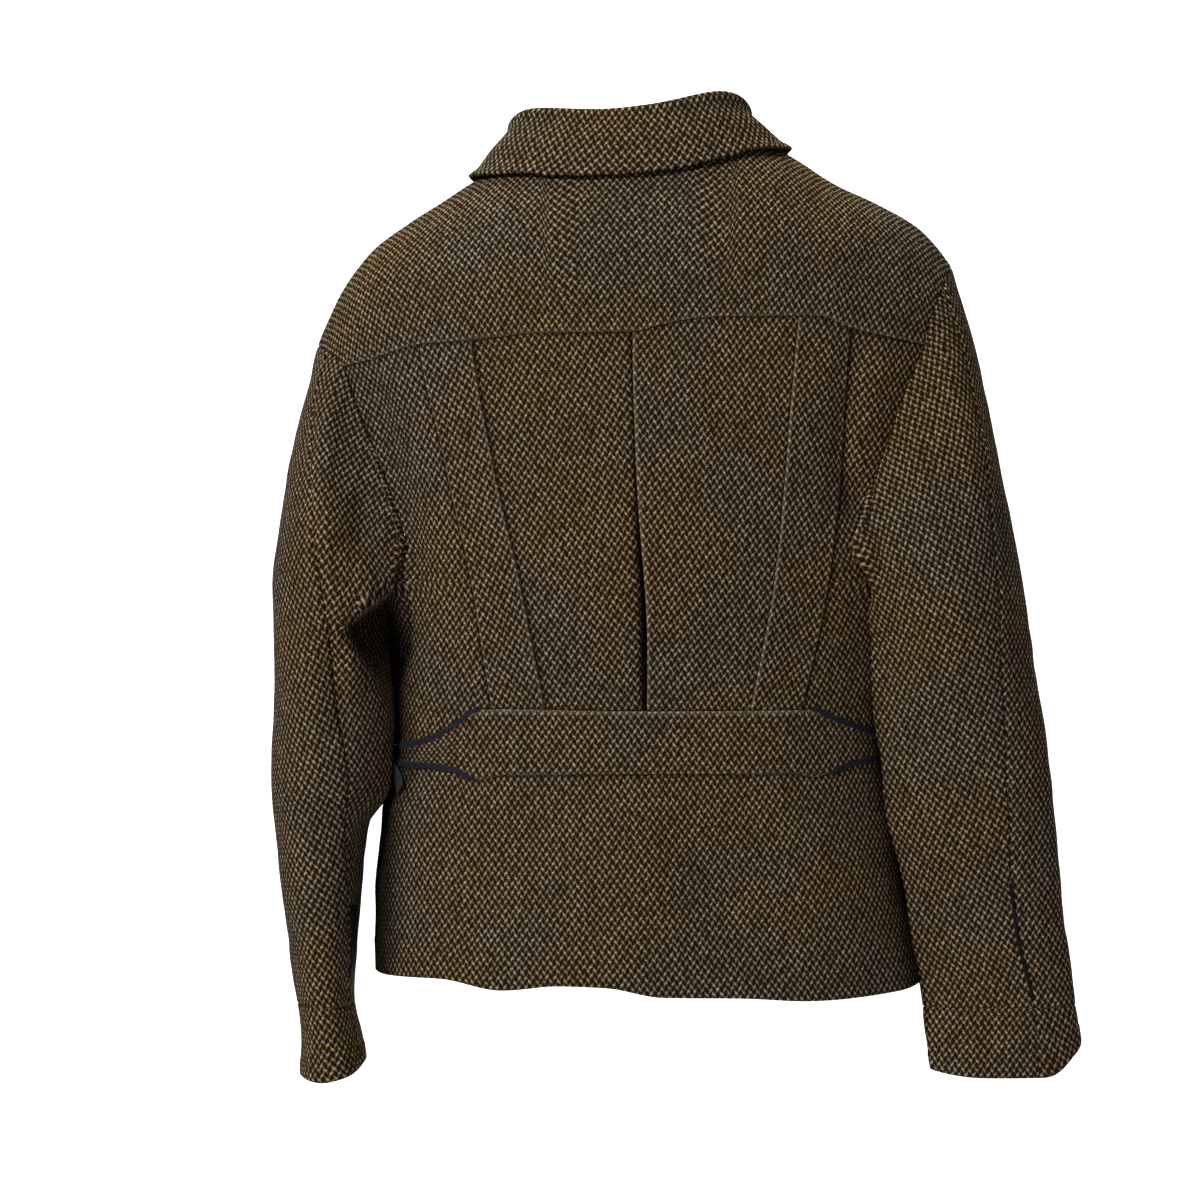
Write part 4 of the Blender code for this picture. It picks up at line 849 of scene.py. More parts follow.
def neckline(yoke):
    """Points round the neckline as (plan angle from the centre back, point)."""
    points = [yoke[CROWN, k] for k in range(neck_left, neck_right + 1)]
    points += [yoke[i, k] for k in (neck_left, neck_right) for i in range(CROWN + 1, yoke.shape[0])]
    points += [FRONTS[side][0, k] for side, _ in SIDES for k in range(1, NECK_COLUMNS)]
    return sorted(((math.degrees(math.atan2(p[0], p[1])), p) for p in points), key=lambda pair: pair[0])


def body_tree(names):
    """The middle surfaces of these panels, to measure against."""
    points, faces = [], []
    for entry in PATCHES:
        if entry["name"] in names:
            base = len(points)
            points += [Vector(p) for p in entry["grid"].reshape(-1, 3)]
            faces += [tuple(k + base for k in quad) for quad in quads_of(entry["keep"])]
    return BVHTree.FromPolygons(points, faces)


def clear_of(tree, point, gap):
    """The point raised until the surface under it is this far away, measured square to the surface."""
    height = point[2]
    out = unit(np.array([point[0], point[1], 0.0]))
    for reach in (0, 3, 6):
        start = Vector(point + out * reach)
        start.z = 300
        place, normal, _, _ = tree.ray_cast(start, Vector((0, 0, -1)))
        if place is not None:
            height = max(height, place.z + gap / max(0.4, abs(normal.z)))
    return np.array([point[0], point[1], height])


def collar_line(degrees, edge_points, tree):
    """One column of the collar, from the neckline up the stand, over the roll and down to the fall's edge."""
    angles = [angle for angle, _ in edge_points]
    foot = np.array([np.interp(degrees, angles, [p[axis] for _, p in edge_points]) for axis in range(3)])
    rx, ry = collar_plan("roll", degrees)
    fx, fy = collar_plan("fall", degrees)
    out = unit(np.array([rx - COLLAR["roll"][-1], ry, 0.0]))
    top = roll_height(abs(degrees)) - 0.06 * rx
    for high, middle, width in ROLL_UNEVEN:
        top += high * bump(degrees, middle, width)
    stand = foot - out * STAND_INSIDE + [0, 0, 3]
    roll = np.array([rx, ry, top])
    neck = roll - out * 5.5 - [0, 0, 9]
    line = [stand * [0.85, 0.85, 0.5] + neck * [0.15, 0.15, 0.5], neck]
    line += [roll + out * over - [0, 0, down] for over, down in ((-3.4, 2), (0, 0), (3.0, 2.5))]
    shoulder = roll + out * 5.0 - [0, 0, 10]
    edge = np.array([fx, fy, FALL_LOW])
    hit = tree.ray_cast(Vector((fx, fy, 300)), Vector((0, 0, -1)))[0]
    if hit is not None:
        edge[2] = max(FALL_LOW, hit.z)
    for share in (0.0, 0.33, 0.67, 1.0):
        line.append(shoulder * (1 - share) + edge * share + out * 3.0 * math.sin(math.pi * share))
    return [stand] + [clear_of(tree, point, COLLAR_CLEAR) for point in line]


def finer(grid, places):
    """The grid's lines joined by a smooth curve and read off at these line numbers."""
    out = []
    for place in sorted(places):
        i = min(int(place), len(grid) - 2)
        s = place - i
        before, a, b, after = grid[max(i - 1, 0)], grid[i], grid[i + 1], grid[min(i + 2, len(grid) - 1)]
        square, cube = 2 * before - 5 * a + 4 * b - after, 3 * a - before - 3 * b + after
        out.append(0.5 * (2 * a + (b - before) * s + square * s * s + cube * s**3))
    return np.array(out)


def make_collar(yoke):
    edge_points = neckline(yoke)
    tree = body_tree(("back_yoke", "front_left", "front_right"))
    grid = np.array([collar_line(d, edge_points, tree) for d in COLLAR_TURNS]).transpose(1, 0, 2)
    grid = finer(grid, COLLAR_LINES)
    patch("collar", grid[::-1], thick=2.4, shared=False, welt=welt_along(grid, "last_row", 0.5, 7)[::-1])


# ---- small pieces --------------------------------------------------------------------------------
TAPE_WIDTH, TAPE_THICK = 5.0, 0.9
BUCKLE_HIGH, BUCKLE_WIDE, BUCKLE_WIRE, BUCKLE_CORNER = 25, 17, 1.0, 3.0
BUTTON_ACROSS, BUTTON_THICK, BUTTONS, BUTTON_TOP, BUTTON_STEP = 18, 3.4, 5, -112, 106
BUTTON_PROFILE = (  # radius and height, as shares, from the middle of the back to the middle of the face
    (0.0, 0.0), (0.36, 0.0), (0.46, 0.12), (0.5, 0.3), (0.5, 0.66), (0.485, 0.85), (0.45, 0.97), (0.41, 1.0),
    (0.37, 0.93), (0.33, 0.74), (0.28, 0.66), (0.0, 0.62))
TAPE_START = {("upper", 1): 117, ("lower", 1): 122, ("upper", -1): 127, ("lower", -1): 134}  # off the middle
STRAP = rows(  # the strap's middle line past the side seam: forward to back, height, and how far off the side
    "y z lift",
    (-38, -448, 3.6), (-24, -448, 4.2), (-11, -448, 5.3), (0, -448, 5.4), (11, -449, 5.3), (22, -452, 4.2),
    (34, -457, 4.0), (45, -464, 4.4), (53, -473, 5.0),
)
STRAP_WIDTH, STRAP_THICK, BUCKLE_AT = 13.0, 1.2, -448
VENTS = {  # each sleeve's dark vent facing: half width, top, foot, and how far outside the cloth it lies
    1: (6.0, -560, -618, 0.85),
    -1: (1.3, -540, -632, 0.1),
}
LEFT_FACING, HEM_FACING, FRONT_FACING = 9, 34, 62  # tweed inside the left front's hem, other hems, front edges
LINING_STRIP = 26.0  # how far above the left front's hem facing the strip of lining inside it ends
ACROSS = (-1, -0.9, -0.6, -0.2, 0.2, 0.6, 0.9, 1)


def strip(name, middles, across, half, thick, lift):
    """A flat strip along points of a panel, moved out from it."""
    grid = [[m + a * half * share for m, a in zip(middles, across)] for share in ACROSS]
    patch(name, grid, thick=thick, lift=lift, shared=False)


def make_tapes():
    lift = CLOTH / 2 + 0.35 + TAPE_THICK / 2
    for side, word in SIDES:
        for seam, line, beside in (("upper", band[0], upper_back[-4]), ("lower", band[-1], skirt[3])):
            out = side * line[:, 0]
            start = TAPE_START[seam, side]
            numbers = sorted((k for k in range(len(COLUMNS)) if out[k] > start), key=lambda k: out[k])
            reach = out[numbers[-1]] - out[numbers[0]]
            numbers = [k for k in numbers if out[k] < start + reach * 0.975]
            across = []
            for k in numbers:
                gone = float(np.linalg.norm(line[k] - line[numbers[0]]))
                across.append(unit(beside[k] - line[k]) * (0.3 + 0.7 * ease(0, 9, gone)))
            strip(f"tape_{seam}_{word}", [line[k] for k in numbers], across, TAPE_WIDTH / 2, TAPE_THICK, lift)


def side_point(side, y, z, lift):
    """A point off the side of the body, y forward (-) or back (+) of the side seam."""
    middle, half, back, front = ring(z)
    depth = back if y > 0 else front
    x = half * (1 - (abs(y) / depth) ** BOXINESS) ** (1 / BOXINESS)
    slope = signed_power(y, BOXINESS - 1) / depth**BOXINESS
    out = unit(np.array([side * x ** (BOXINESS - 1) / half**BOXINESS, slope, 0.0]))
    return np.array([middle + side * x, y, z]) + out * lift


def make_straps():
    strap_z, strap_lift = curve(STRAP, "y", "z"), curve(STRAP, "y", "lift")
    first, last = STRAP[0]["y"], STRAP[-1]["y"]
    for side, word in SIDES:
        places = [first + (last - first) * k / 44 for k in range(45)]
        middles = [side_point(side, y, strap_z(y), strap_lift(y)) for y in places]
        steps = [unit(b - a) for a, b in zip(middles, middles[1:])]
        steps.append(steps[-1])
        across = []
        for y, m, s in zip(places, middles, steps):
            out = unit(side_point(side, y, m[2], 1) - side_point(side, y, m[2], 0))
            across.append(unit(np.cross(out, s)))
        strip(f"strap_{word}", middles, across, STRAP_WIDTH / 2, STRAP_THICK, 0.0)
        wide = unit(side_point(side, 8, BUCKLE_AT, 0) - side_point(side, -8, BUCKLE_AT, 0))
        high = unit(side_point(side, 0, BUCKLE_AT + 10, 0) - side_point(side, 0, BUCKLE_AT - 10, 0))
        buckle(f"buckle_{word}", side_point(side, 0, BUCKLE_AT, CLOTH / 2 + 1.8), wide, high)


def tube(path, radius, face, sides=10):
    """A closed wire along points in a plane, with the plane's normal: (points, faces)."""
    points, faces = [], []
    for k, p in enumerate(path):
        way = unit(path[(k + 1) % len(path)] - path[k - 1])
        flat = unit(np.cross(way, face))
        out = np.cross(flat, way)
        turns = [2 * math.pi * j / sides for j in range(sides)]
        points += [p + (flat * math.cos(a) + out * math.sin(a)) * radius for a in turns]
    for k in range(len(path)):
        n = (k + 1) % len(path)
        for j in range(sides):
            i = (j + 1) % sides
            faces.append((k * sides + j, k * sides + i, n * sides + i, n * sides + j))
    return points, faces


def buckle(name, centre, wide, high):
    """A slide buckle: a rounded wire frame with a bar and a prong across it."""
    out = unit(np.cross(wide, high))
    w, h, r = BUCKLE_WIDE / 2 - BUCKLE_WIRE, BUCKLE_HIGH / 2 - BUCKLE_WIRE, BUCKLE_CORNER
    rim = []
    for cx, cy, start in ((w - r, h - r, 0), (r - w, h - r, 90), (r - w, r - h, 180), (w - r, r - h, 270)):
        for a in (math.radians(start + step) for step in range(0, 91, 15)):
            rim.append(centre + wide * (cx + r * math.cos(a)) + high * (cy + r * math.sin(a)))
    bar = [centre + high * y + wide * x for x, y in ((0.5, -h), (0.5, h), (-0.5, h), (-0.5, -h))]
    prong = ((-1, 0.5), (w + 0.8, 0.5), (w + 0.8, -0.5), (-1, -0.5))
    prong = [centre + out * 0.9 + wide * x + high * y for x, y in prong]
    points, faces = [], []
    for path, radius, sides in ((rim, BUCKLE_WIRE, 10), (bar, 0.75, 8), (prong, 0.75, 8)):
        more, quads = tube(path, radius, out, sides)
        faces += [tuple(k + len(points) for k in quad) for quad in quads]
        points += more
    finish_piece(make_object(name, points, [faces], [MATERIALS["metal"]]), name, "buckle_metal")


def make_vents():
    for side, word in SIDES:
        half, top, foot, lift = VENTS[side]
        column, beside = SLEEVES[side][:, BACK_SEAM_STEP], SLEEVES[side][:, BACK_SEAM_STEP + 3]
        numbers = [i for i in range(len(column)) if foot <= column[i][2] <= top]
        across = [unit(beside[i] - column[i]) for i in numbers]
        middles = [column[i] + a * half * 1.1 for i, a in zip(numbers, across)]
        strip(f"vent_facing_{word}", middles, across, half, 1.0, CLOTH / 2 + lift)


def make_lining_strip():
    front = FRONTS[1]
    above = edge_gap(front, "last_row")
    columns = [k for k in range(front.shape[1]) if 0 < front[-1][k][0] < 105]
    grid = []
    for share in range(9):
        want = LEFT_FACING + LINING_STRIP * share / 8
        line = [[np.interp(-want, -above[:, k], front[:, k, axis]) for axis in range(3)] for k in columns]
        grid.append(line)
    patch("front_lining_strip", grid, thick=0.8, lift=-(CLOTH / 2 + 0.75), shared=False)


def make_buttons():
    tree = body_tree(("front_left",))
    for number in range(BUTTONS):
        z = BUTTON_TOP - BUTTON_STEP * number
        place, normal, _, _ = tree.ray_cast(Vector((-1, -400, z)), Vector((0, 1, 0)))
        out = np.array(normal if normal.y < 0 else -normal)
        button(f"button_{number + 1}", np.array(place) + out * (CLOTH / 2 + 0.2), out)


def button(name, centre, out, sides=40):
    """A turned disc with a raised rim and a dished face, held by two stitches."""
    side = unit(np.cross(out, np.array([0.0, 0.0, 1.0])))
    up = np.cross(side, out)

    def ring_of(middle, radius, other, count):
        turns = [2 * math.pi * k / count for k in range(count)]
        return [middle + (side * math.cos(a) + other * math.sin(a)) * radius for a in turns]

    points, quads, threads = [centre], [], []
    for radius, level in BUTTON_PROFILE[1:-1]:
        points += ring_of(centre + out * level * BUTTON_THICK, radius * BUTTON_ACROSS, up, sides)
    points.append(centre + out * BUTTON_PROFILE[-1][1] * BUTTON_THICK)
    last, rings = len(points) - 1, len(BUTTON_PROFILE) - 2
    for k in range(sides):
        n = (k + 1) % sides
        quads.append((0, 1 + n, 1 + k))
        for r in range(rings - 1):
            a, b = 1 + r * sides, 1 + (r + 1) * sides
            quads.append((a + k, a + n, b + n, b + k))
        quads.append((1 + (rings - 1) * sides + k, 1 + (rings - 1) * sides + n, last))
    for x in (-1.6, 1.6):
        base = len(points)
        for step in range(7):
            y, lift = -2.0 + 4.0 * step / 6, 0.6 * math.sin(math.pi * step / 6) - 0.2
            points += ring_of(centre + side * x + up * y + out * (BUTTON_THICK * 0.62 + lift), 0.45, out, 6)
        for start in range(base, base + 36, 6):
            for j in range(6):
                i = (j + 1) % 6
                threads.append((start + j, start + i, start + 6 + i, start + 6 + j))
        threads += [tuple(base + j for j in range(5, -1, -1)), tuple(base + 36 + j for j in range(6))]
    piece = make_object(name, points, [quads, threads], [MATERIALS["button"], MATERIALS["thread"]])
    finish_piece(piece, name, "button")


# ---- walls ---------------------------------------------------------------------------------------
COLLAR_CREASE = 0.5  # share of the creases that the collar has
CREASES = rows(  # how tall, how long in x, y and z, and a seed
    "high x y z seed",
    (2.2, 90, 90, 70, 3.1), (1.1, 42, 50, 34, 11.7), (0.5, 16, 20, 14, 27.3),
)


def crease(point):
    """Small unevenness of the cloth, in millimetres, the same on both sides of a seam."""
    total = 0.0
    for line in CREASES:
        x, y, z = (value / line[axis] for value, axis in zip(point, "xyz"))
        total += line["high"] * noise.noise(Vector((x + line["seed"], y, z - line["seed"])))
    return total


def grid_normals(grid, keep):
    a, b, c, d = grid[:-1, :-1], grid[:-1, 1:], grid[1:, 1:], grid[1:, :-1]
    face = np.cross(c - a, d - b) * keep[..., None]
    total = np.zeros_like(grid)
    for down in (slice(0, -1), slice(1, None)):
        for over in (slice(0, -1), slice(1, None)):
            total[down, over] += face
    size = np.linalg.norm(total, axis=2, keepdims=True)
    return total / np.maximum(size, 1e-9)


def rim_of(keep):
    """The directed edges that have a kept face on one side only."""
    edges = [edge for quad in quads_of(keep) for edge in zip(quad, quad[1:] + quad[:1])]
    both = set(edges)
    return [(a, b) for a, b in edges if (b, a) not in both]


def make_object(name, points, parts, materials, uvs=None):
    """A mesh of points in millimetres, with each list of faces in its own material."""
    mesh = bpy.data.meshes.new(name + "_looks")
    faces = [face for part in parts for face in part]
    mesh.from_pydata((np.array(points, float) * MM).tolist(), [], faces)
    for number, made in enumerate(materials):
        mesh.materials.append(made)
    mesh.polygons.foreach_set("material_index", [number for number, part in enumerate(parts) for _ in part])
    mesh.polygons.foreach_set("use_smooth", [True] * len(faces))
    if uvs is not None:
        corners = np.empty(len(mesh.loops), np.int32)
        mesh.loops.foreach_get("vertex_index", corners)
        layer = mesh.uv_layers.new(name="grain")
        layer.data.foreach_set("uv", (np.array(uvs) * MM)[corners].astype(np.float32).ravel())
    mesh.update()
    thing = bpy.data.objects.new(name + "_looks", mesh)
    bpy.context.scene.collection.objects.link(thing)
    return thing


def finish_piece(piece, name, slot):
    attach(piece, "root")
    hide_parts(name)


def shade_beside_sleeve(point):
    """Painted shade on the body's side under a sleeve: 1 there, fading out towards the back and front."""
    middle, half, _, _ = ring(point[2])
    return ease(0.865, 0.975, abs(point[0] - middle) / half) * ease(-312, -350, point[2])


def shade_in_pocket(point):
    """Painted shade in the pocket under the left sleeve's flap: 1 there, and 0 outside it."""
    if point[1] < sleeve_at[1]["y"](min(point[2], SLEEVE_TOP)):
        return 0.0
    _, above = flap_place(point)
    return ease(1, -5, above) * ease(-402, -362, point[2]) * ease(5, -6, point[0] - pocket_edge(point[2]))


SHADES = (  # painted shade: the starts of pieces' names, how dark it is at most, and where
    (("back_s", "back_w", "front_l", "front_r"), 0.88, shade_beside_sleeve),
    (("top_sleeve_left", "under_sleeve_left"), 0.8, shade_in_pocket),
)


def build_wall(entry, shared):
    grid, keep, name = entry["grid"], entry["keep"], entry["name"]
    flat, own = grid.reshape(-1, 3), grid_normals(grid, keep).reshape(-1, 3)
    normals, kept, rim = own.copy(), quads_of(keep), rim_of(keep)
    used = np.zeros(len(flat), bool)
    used[np.array(kept).ravel()] = True
    inward = {}
    for a, b in rim:
        way = unit(np.cross(normals[a] + normals[b], flat[b] - flat[a]))
        for k in (a, b):
            inward[k] = inward.get(k, 0) + way
    place = flat + own * entry["lift"]
    for k, way in inward.items():
        place[k] = place[k] + unit(way) * SEAM_GAP / 2
        if entry["shared"] and key_of(flat[k]) in shared:
            normals[k] = unit(shared[key_of(flat[k])])
    edge, gap = flat[sorted(inward)], np.empty(len(flat))
    for start in range(0, len(flat), 2000):
        block = flat[start : start + 2000]
        gap[start : start + 2000] = np.sqrt(((block[:, None] - edge[None]) ** 2).sum(2)).min(1)
    thin = 1 - np.clip(gap / min(2.0, entry["thick"] * 0.8), 0, 1)
    rounded = np.sqrt(1 - thin**2)
    half = entry["thick"] / 2 * (0.25 + 0.75 * rounded)
    lifted = np.array([crease(p) if u else 0.0 for p, u in zip(flat, used)])
    lifted *= ease_array(-100, -170, flat[:, 2], 0.35) * (COLLAR_CREASE if name == "collar" else 1)
    outer = place + normals * (half + lifted + entry["welt"].reshape(-1) * rounded)[:, None]
    inner = place - normals * (half - lifted)[:, None]
    number = (np.cumsum(used) - 1).tolist()
    count = int(used.sum())
    faces = [tuple(number[k] for k in face) for face in kept]
    back = [tuple(number[k] + count for k in reversed(face)) for face in kept]
    sides = [(number[b], number[a], number[a] + count, number[b] + count) for a, b in rim]
    outside, inside, _ = kind_of(name)
    parts, materials = [faces + back + sides], [MATERIALS[outside]]
    if inside:
        up = [turned_up(name, flat[face[0]]) for face in kept]
        parts = [faces + sides + [face for face, is_up in zip(back, up) if is_up]]
        parts.append([face for face, is_up in zip(back, up) if not is_up])
        materials.append(MATERIALS[inside])
    uv = flatten(entry)[used]
    points = np.concatenate([outer[used], inner[used]])
    piece = make_object(name, points, parts, materials, np.concatenate([uv, uv]))
    # painted shade and painted highlight of each point, kept as attributes for the tweed's colour
    dark, worn = entry["hollow"].reshape(-1)[used], entry["worn"].reshape(-1)[used]
    for starts, most, shade in SHADES:
        if name.startswith(starts):
            dark = np.array([max(d, most * shade(p)) for d, p in zip(dark, flat[used])])
    for label, share in (("ridge", (worn, np.zeros(count))), ("hollow", (dark, dark))):
        made = piece.data.attributes.new(label, "FLOAT", "POINT")
        made.data.foreach_set("value", np.concatenate(share).astype(np.float32))
    return piece


def coarse_lines(keep, axis, most):
    """Grid lines to flatten by: evenly spread, with the ends and the corners of any cut-out among them."""
    count = keep.shape[axis]
    changes = np.nonzero(np.any(np.diff(keep.astype(int), axis=axis) != 0, axis=1 - axis))[0] + 1
    even = [round(count * k / most) for k in range(most + 1)]
    kept = {0, count} | {int(c) for c in changes}
    return sorted(kept | {k for k in even if min(abs(k - c) for c in kept) > 1})


def flatten(entry):
    """The panel laid flat, in millimetres at each grid point, with its grain up the grid's columns."""
    grid, keep = entry["grid"], entry["keep"]
    downs, overs = coarse_lines(keep, 0, 16), coarse_lines(keep, 1, 14)
    coarse, small = keep[np.ix_(downs[:-1], overs[:-1])], grid[np.ix_(downs, overs)]
    across, quads, points = len(overs), quads_of(coarse), small.reshape(-1, 3)
    mesh = bpy.data.meshes.new("flat")
    mesh.from_pydata(points.tolist(), [], quads)
    mesh.uv_layers.new(name="flat")
    thing = bpy.data.objects.new("flat", mesh)
    bpy.context.scene.collection.objects.link(thing)
    bpy.context.view_layer.objects.active = thing
    thing.select_set(True)
    bpy.ops.object.mode_set(mode="EDIT")
    bpy.ops.mesh.select_all(action="SELECT")
    bpy.ops.uv.unwrap(method="MINIMUM_STRETCH", fill_holes=False, correct_aspect=False)
    bpy.ops.object.mode_set(mode="OBJECT")
    laid = np.zeros((len(points), 2))
    for loop, point in zip(mesh.loops, mesh.uv_layers["flat"].data):
        laid[loop.vertex_index] = point.uv
    bpy.data.objects.remove(thing, do_unlink=True)
    bpy.data.meshes.remove(mesh)
    corners = np.array(quads)
    a, b, c, d = (laid[corners[:, k]] for k in range(4))
    flat_area = 0.5 * ((c - a)[:, 0] * (d - b)[:, 1] - (c - a)[:, 1] * (d - b)[:, 0]).sum()
    a, b, c, d = (points[corners[:, k]] for k in range(4))
    true_area = 0.5 * np.linalg.norm(np.cross(c - a, d - b), axis=1).sum()
    laid *= math.sqrt(true_area / abs(flat_area))
    if flat_area < 0:
        laid[:, 0] *= -1
    seen = np.unique(corners)
    laid -= laid[seen].mean(axis=0)
    height = np.repeat(np.arange(len(downs), dtype=float), across)[seen]
    height -= height.mean()
    lean = math.atan2(float((laid[seen, 0] * height).sum()), float((laid[seen, 1] * height).sum()))
    turn = np.array([[math.cos(lean), -math.sin(lean)], [math.sin(lean), math.cos(lean)]])
    laid = (laid @ turn.T).reshape(len(downs), across, 2)
    out = np.zeros(grid.shape[:2] + (2,))
    lengths_over, lengths_down = along(grid, 1), along(grid, 0)
    for i, j in np.argwhere(coarse).tolist():
        i0, i1, j0, j1 = downs[i], downs[i + 1], overs[j], overs[j + 1]
        x, y = lengths_over[i0 : i1 + 1, j0 : j1 + 1], lengths_down[i0 : i1 + 1, j0 : j1 + 1]
        x = ((x - x[:, :1]) / np.maximum(x[:, -1:] - x[:, :1], 1e-6))[..., None]
        y = ((y - y[:1]) / np.maximum(y[-1:] - y[:1], 1e-6))[..., None]
        top = laid[i, j] * (1 - x) + laid[i, j + 1] * x
        low = laid[i + 1, j] * (1 - x) + laid[i + 1, j + 1] * x
        out[i0 : i1 + 1, j0 : j1 + 1] = top * (1 - y) + low * y
    if entry["name"] in SLANT_LEFT:
        out[..., 0] *= -1
    return out.reshape(-1, 2)


SLANT_LEFT = (  # the pieces with their weave mirrored
    "back_side_left", "back_strip_left", "back_centre_left", "top_sleeve_left", "under_sleeve_left",
    "cuff_left", "front_left")


def ease_array(low, high, values, least):
    s = np.clip((values - low) / (high - low), 0, 1)
    return least + (1 - least) * s * s * (3 - 2 * s)


def turned_up(name, point):
    """Where the inside of a piece is tweed: hem allowances, cuffs and the front edges."""
    if name == "back_skirt":
        return point[2] < hem(point[0]) + HEM_FACING
    if name.startswith("front"):
        facing = LEFT_FACING if name == "front_left" else HEM_FACING
        return point[2] < hem(point[0]) + facing or abs(point[0]) < FRONT_FACING
    if name.startswith(("under_sleeve", "top_sleeve")):
        return point[2] > -430
    return name.startswith("cuff") and point[2] < -655


KINDS = {  # by the start of a piece's name: its material, the one inside if that is another, and its slot
    "tape": ("tape", None, "tape"), "vent": ("facing", None, "facing"), "collar": ("tweed", None, "tweed"),
    "strap": ("strap", None, "strap_cloth"), "front_lining": ("lining", None, "lining"),
}


def kind_of(name):
    kinds = [kind for start, kind in KINDS.items() if name.startswith(start)]
    return kinds[0] if kinds else ("tweed", "lining", "tweed")


# ---- materials -----------------------------------------------------------------------------------
class Net:
    """Small help for wiring shader nodes: a number, a node's output or another value goes into any input."""

    def __init__(self, name):
        self.made = bpy.data.materials.new(name)
        self.made.use_nodes = True
        self.tree = self.made.node_tree
        self.shader = self.tree.nodes["Principled BSDF"]

    def put(self, socket, value):
        if isinstance(value, bpy.types.NodeSocket):
            self.tree.links.new(value, socket)
        else:
            socket.default_value = value

    def paint(self, *settings):
        for name, value in settings:
            self.put(self.shader.inputs[name], value)

    def node(self, kind, output, settings=(), **inputs):
        made = self.tree.nodes.new(kind)
        for key, value in settings:
            setattr(made, key, value)
        for key, value in inputs.items():
            self.put(made.inputs[int(key[1:]) if key[1:].isdigit() else key], value)
        return made.outputs[output]

    def calc(self, operation, a, b=0.0, c=0.0):
        return self.node("ShaderNodeMath", 0, [("operation", operation)], i0=a, i1=b, i2=c)

    def spread(self, value, low, high, most=1.0, kind="LINEAR"):
        """0 at low, and most at high and beyond."""
        settings = [("interpolation_type", kind)]
        return self.node("ShaderNodeMapRange", 0, settings, i0=value, i1=low, i2=high, i3=0.0, i4=most)

    def bump(self, height, strength, distance):
        made = self.node("ShaderNodeBump", 0, [], Strength=strength, Distance=distance, Height=height)
        self.put(self.shader.inputs["Normal"], made)

    def mix(self, share, a, b):
        return self.node("ShaderNodeMix", 2, [("data_type", "RGBA")], i0=share, i6=a, i7=b)

    def noise(self, place, scale, detail=2.0, rough=0.5):
        inputs = {"Vector": place, "Scale": scale, "Detail": detail, "Roughness": rough}
        return self.node("ShaderNodeTexNoise", 0, [], **inputs)

    def parts(self, vector):
        made = self.tree.nodes.new("ShaderNodeSeparateXYZ")
        self.put(made.inputs[0], vector)
        return list(made.outputs)

    def cloth_place(self):
        return self.parts(self.node("ShaderNodeUVMap", 0, [("uv_map", "grain")]))[:2]

    def attribute(self, name):
        return self.node("ShaderNodeAttribute", 2, [("attribute_name", name)])

    def combine(self, x, y, z=0.0):
        return self.node("ShaderNodeCombineXYZ", 0, [], i0=x, i1=y, i2=z)


FLECK_ACROSS, FLECK_DOWN = 0.0053, 0.0035  # metres between flecks along a row, and between rows
GROUND_WARM, GROUND_GREY = (0.0140, 0.0068, 0.0008, 1), (0.0105, 0.0066, 0.0026, 1)
FLECK_WARM, FLECK_GREY = (0.335, 0.256, 0.158, 1), (0.288, 0.243, 0.186, 1)
STROKES = (  # each lattice's fleck: lean in degrees, half length and half width in millimetres, brightness
    ((28, 1.4, 1.1, 1.0), (60, 3.0, 0.72, 0.62)),
    ((152, 1.35, 1.05, 1.0), (120, 3.0, 0.72, 0.62)),
)


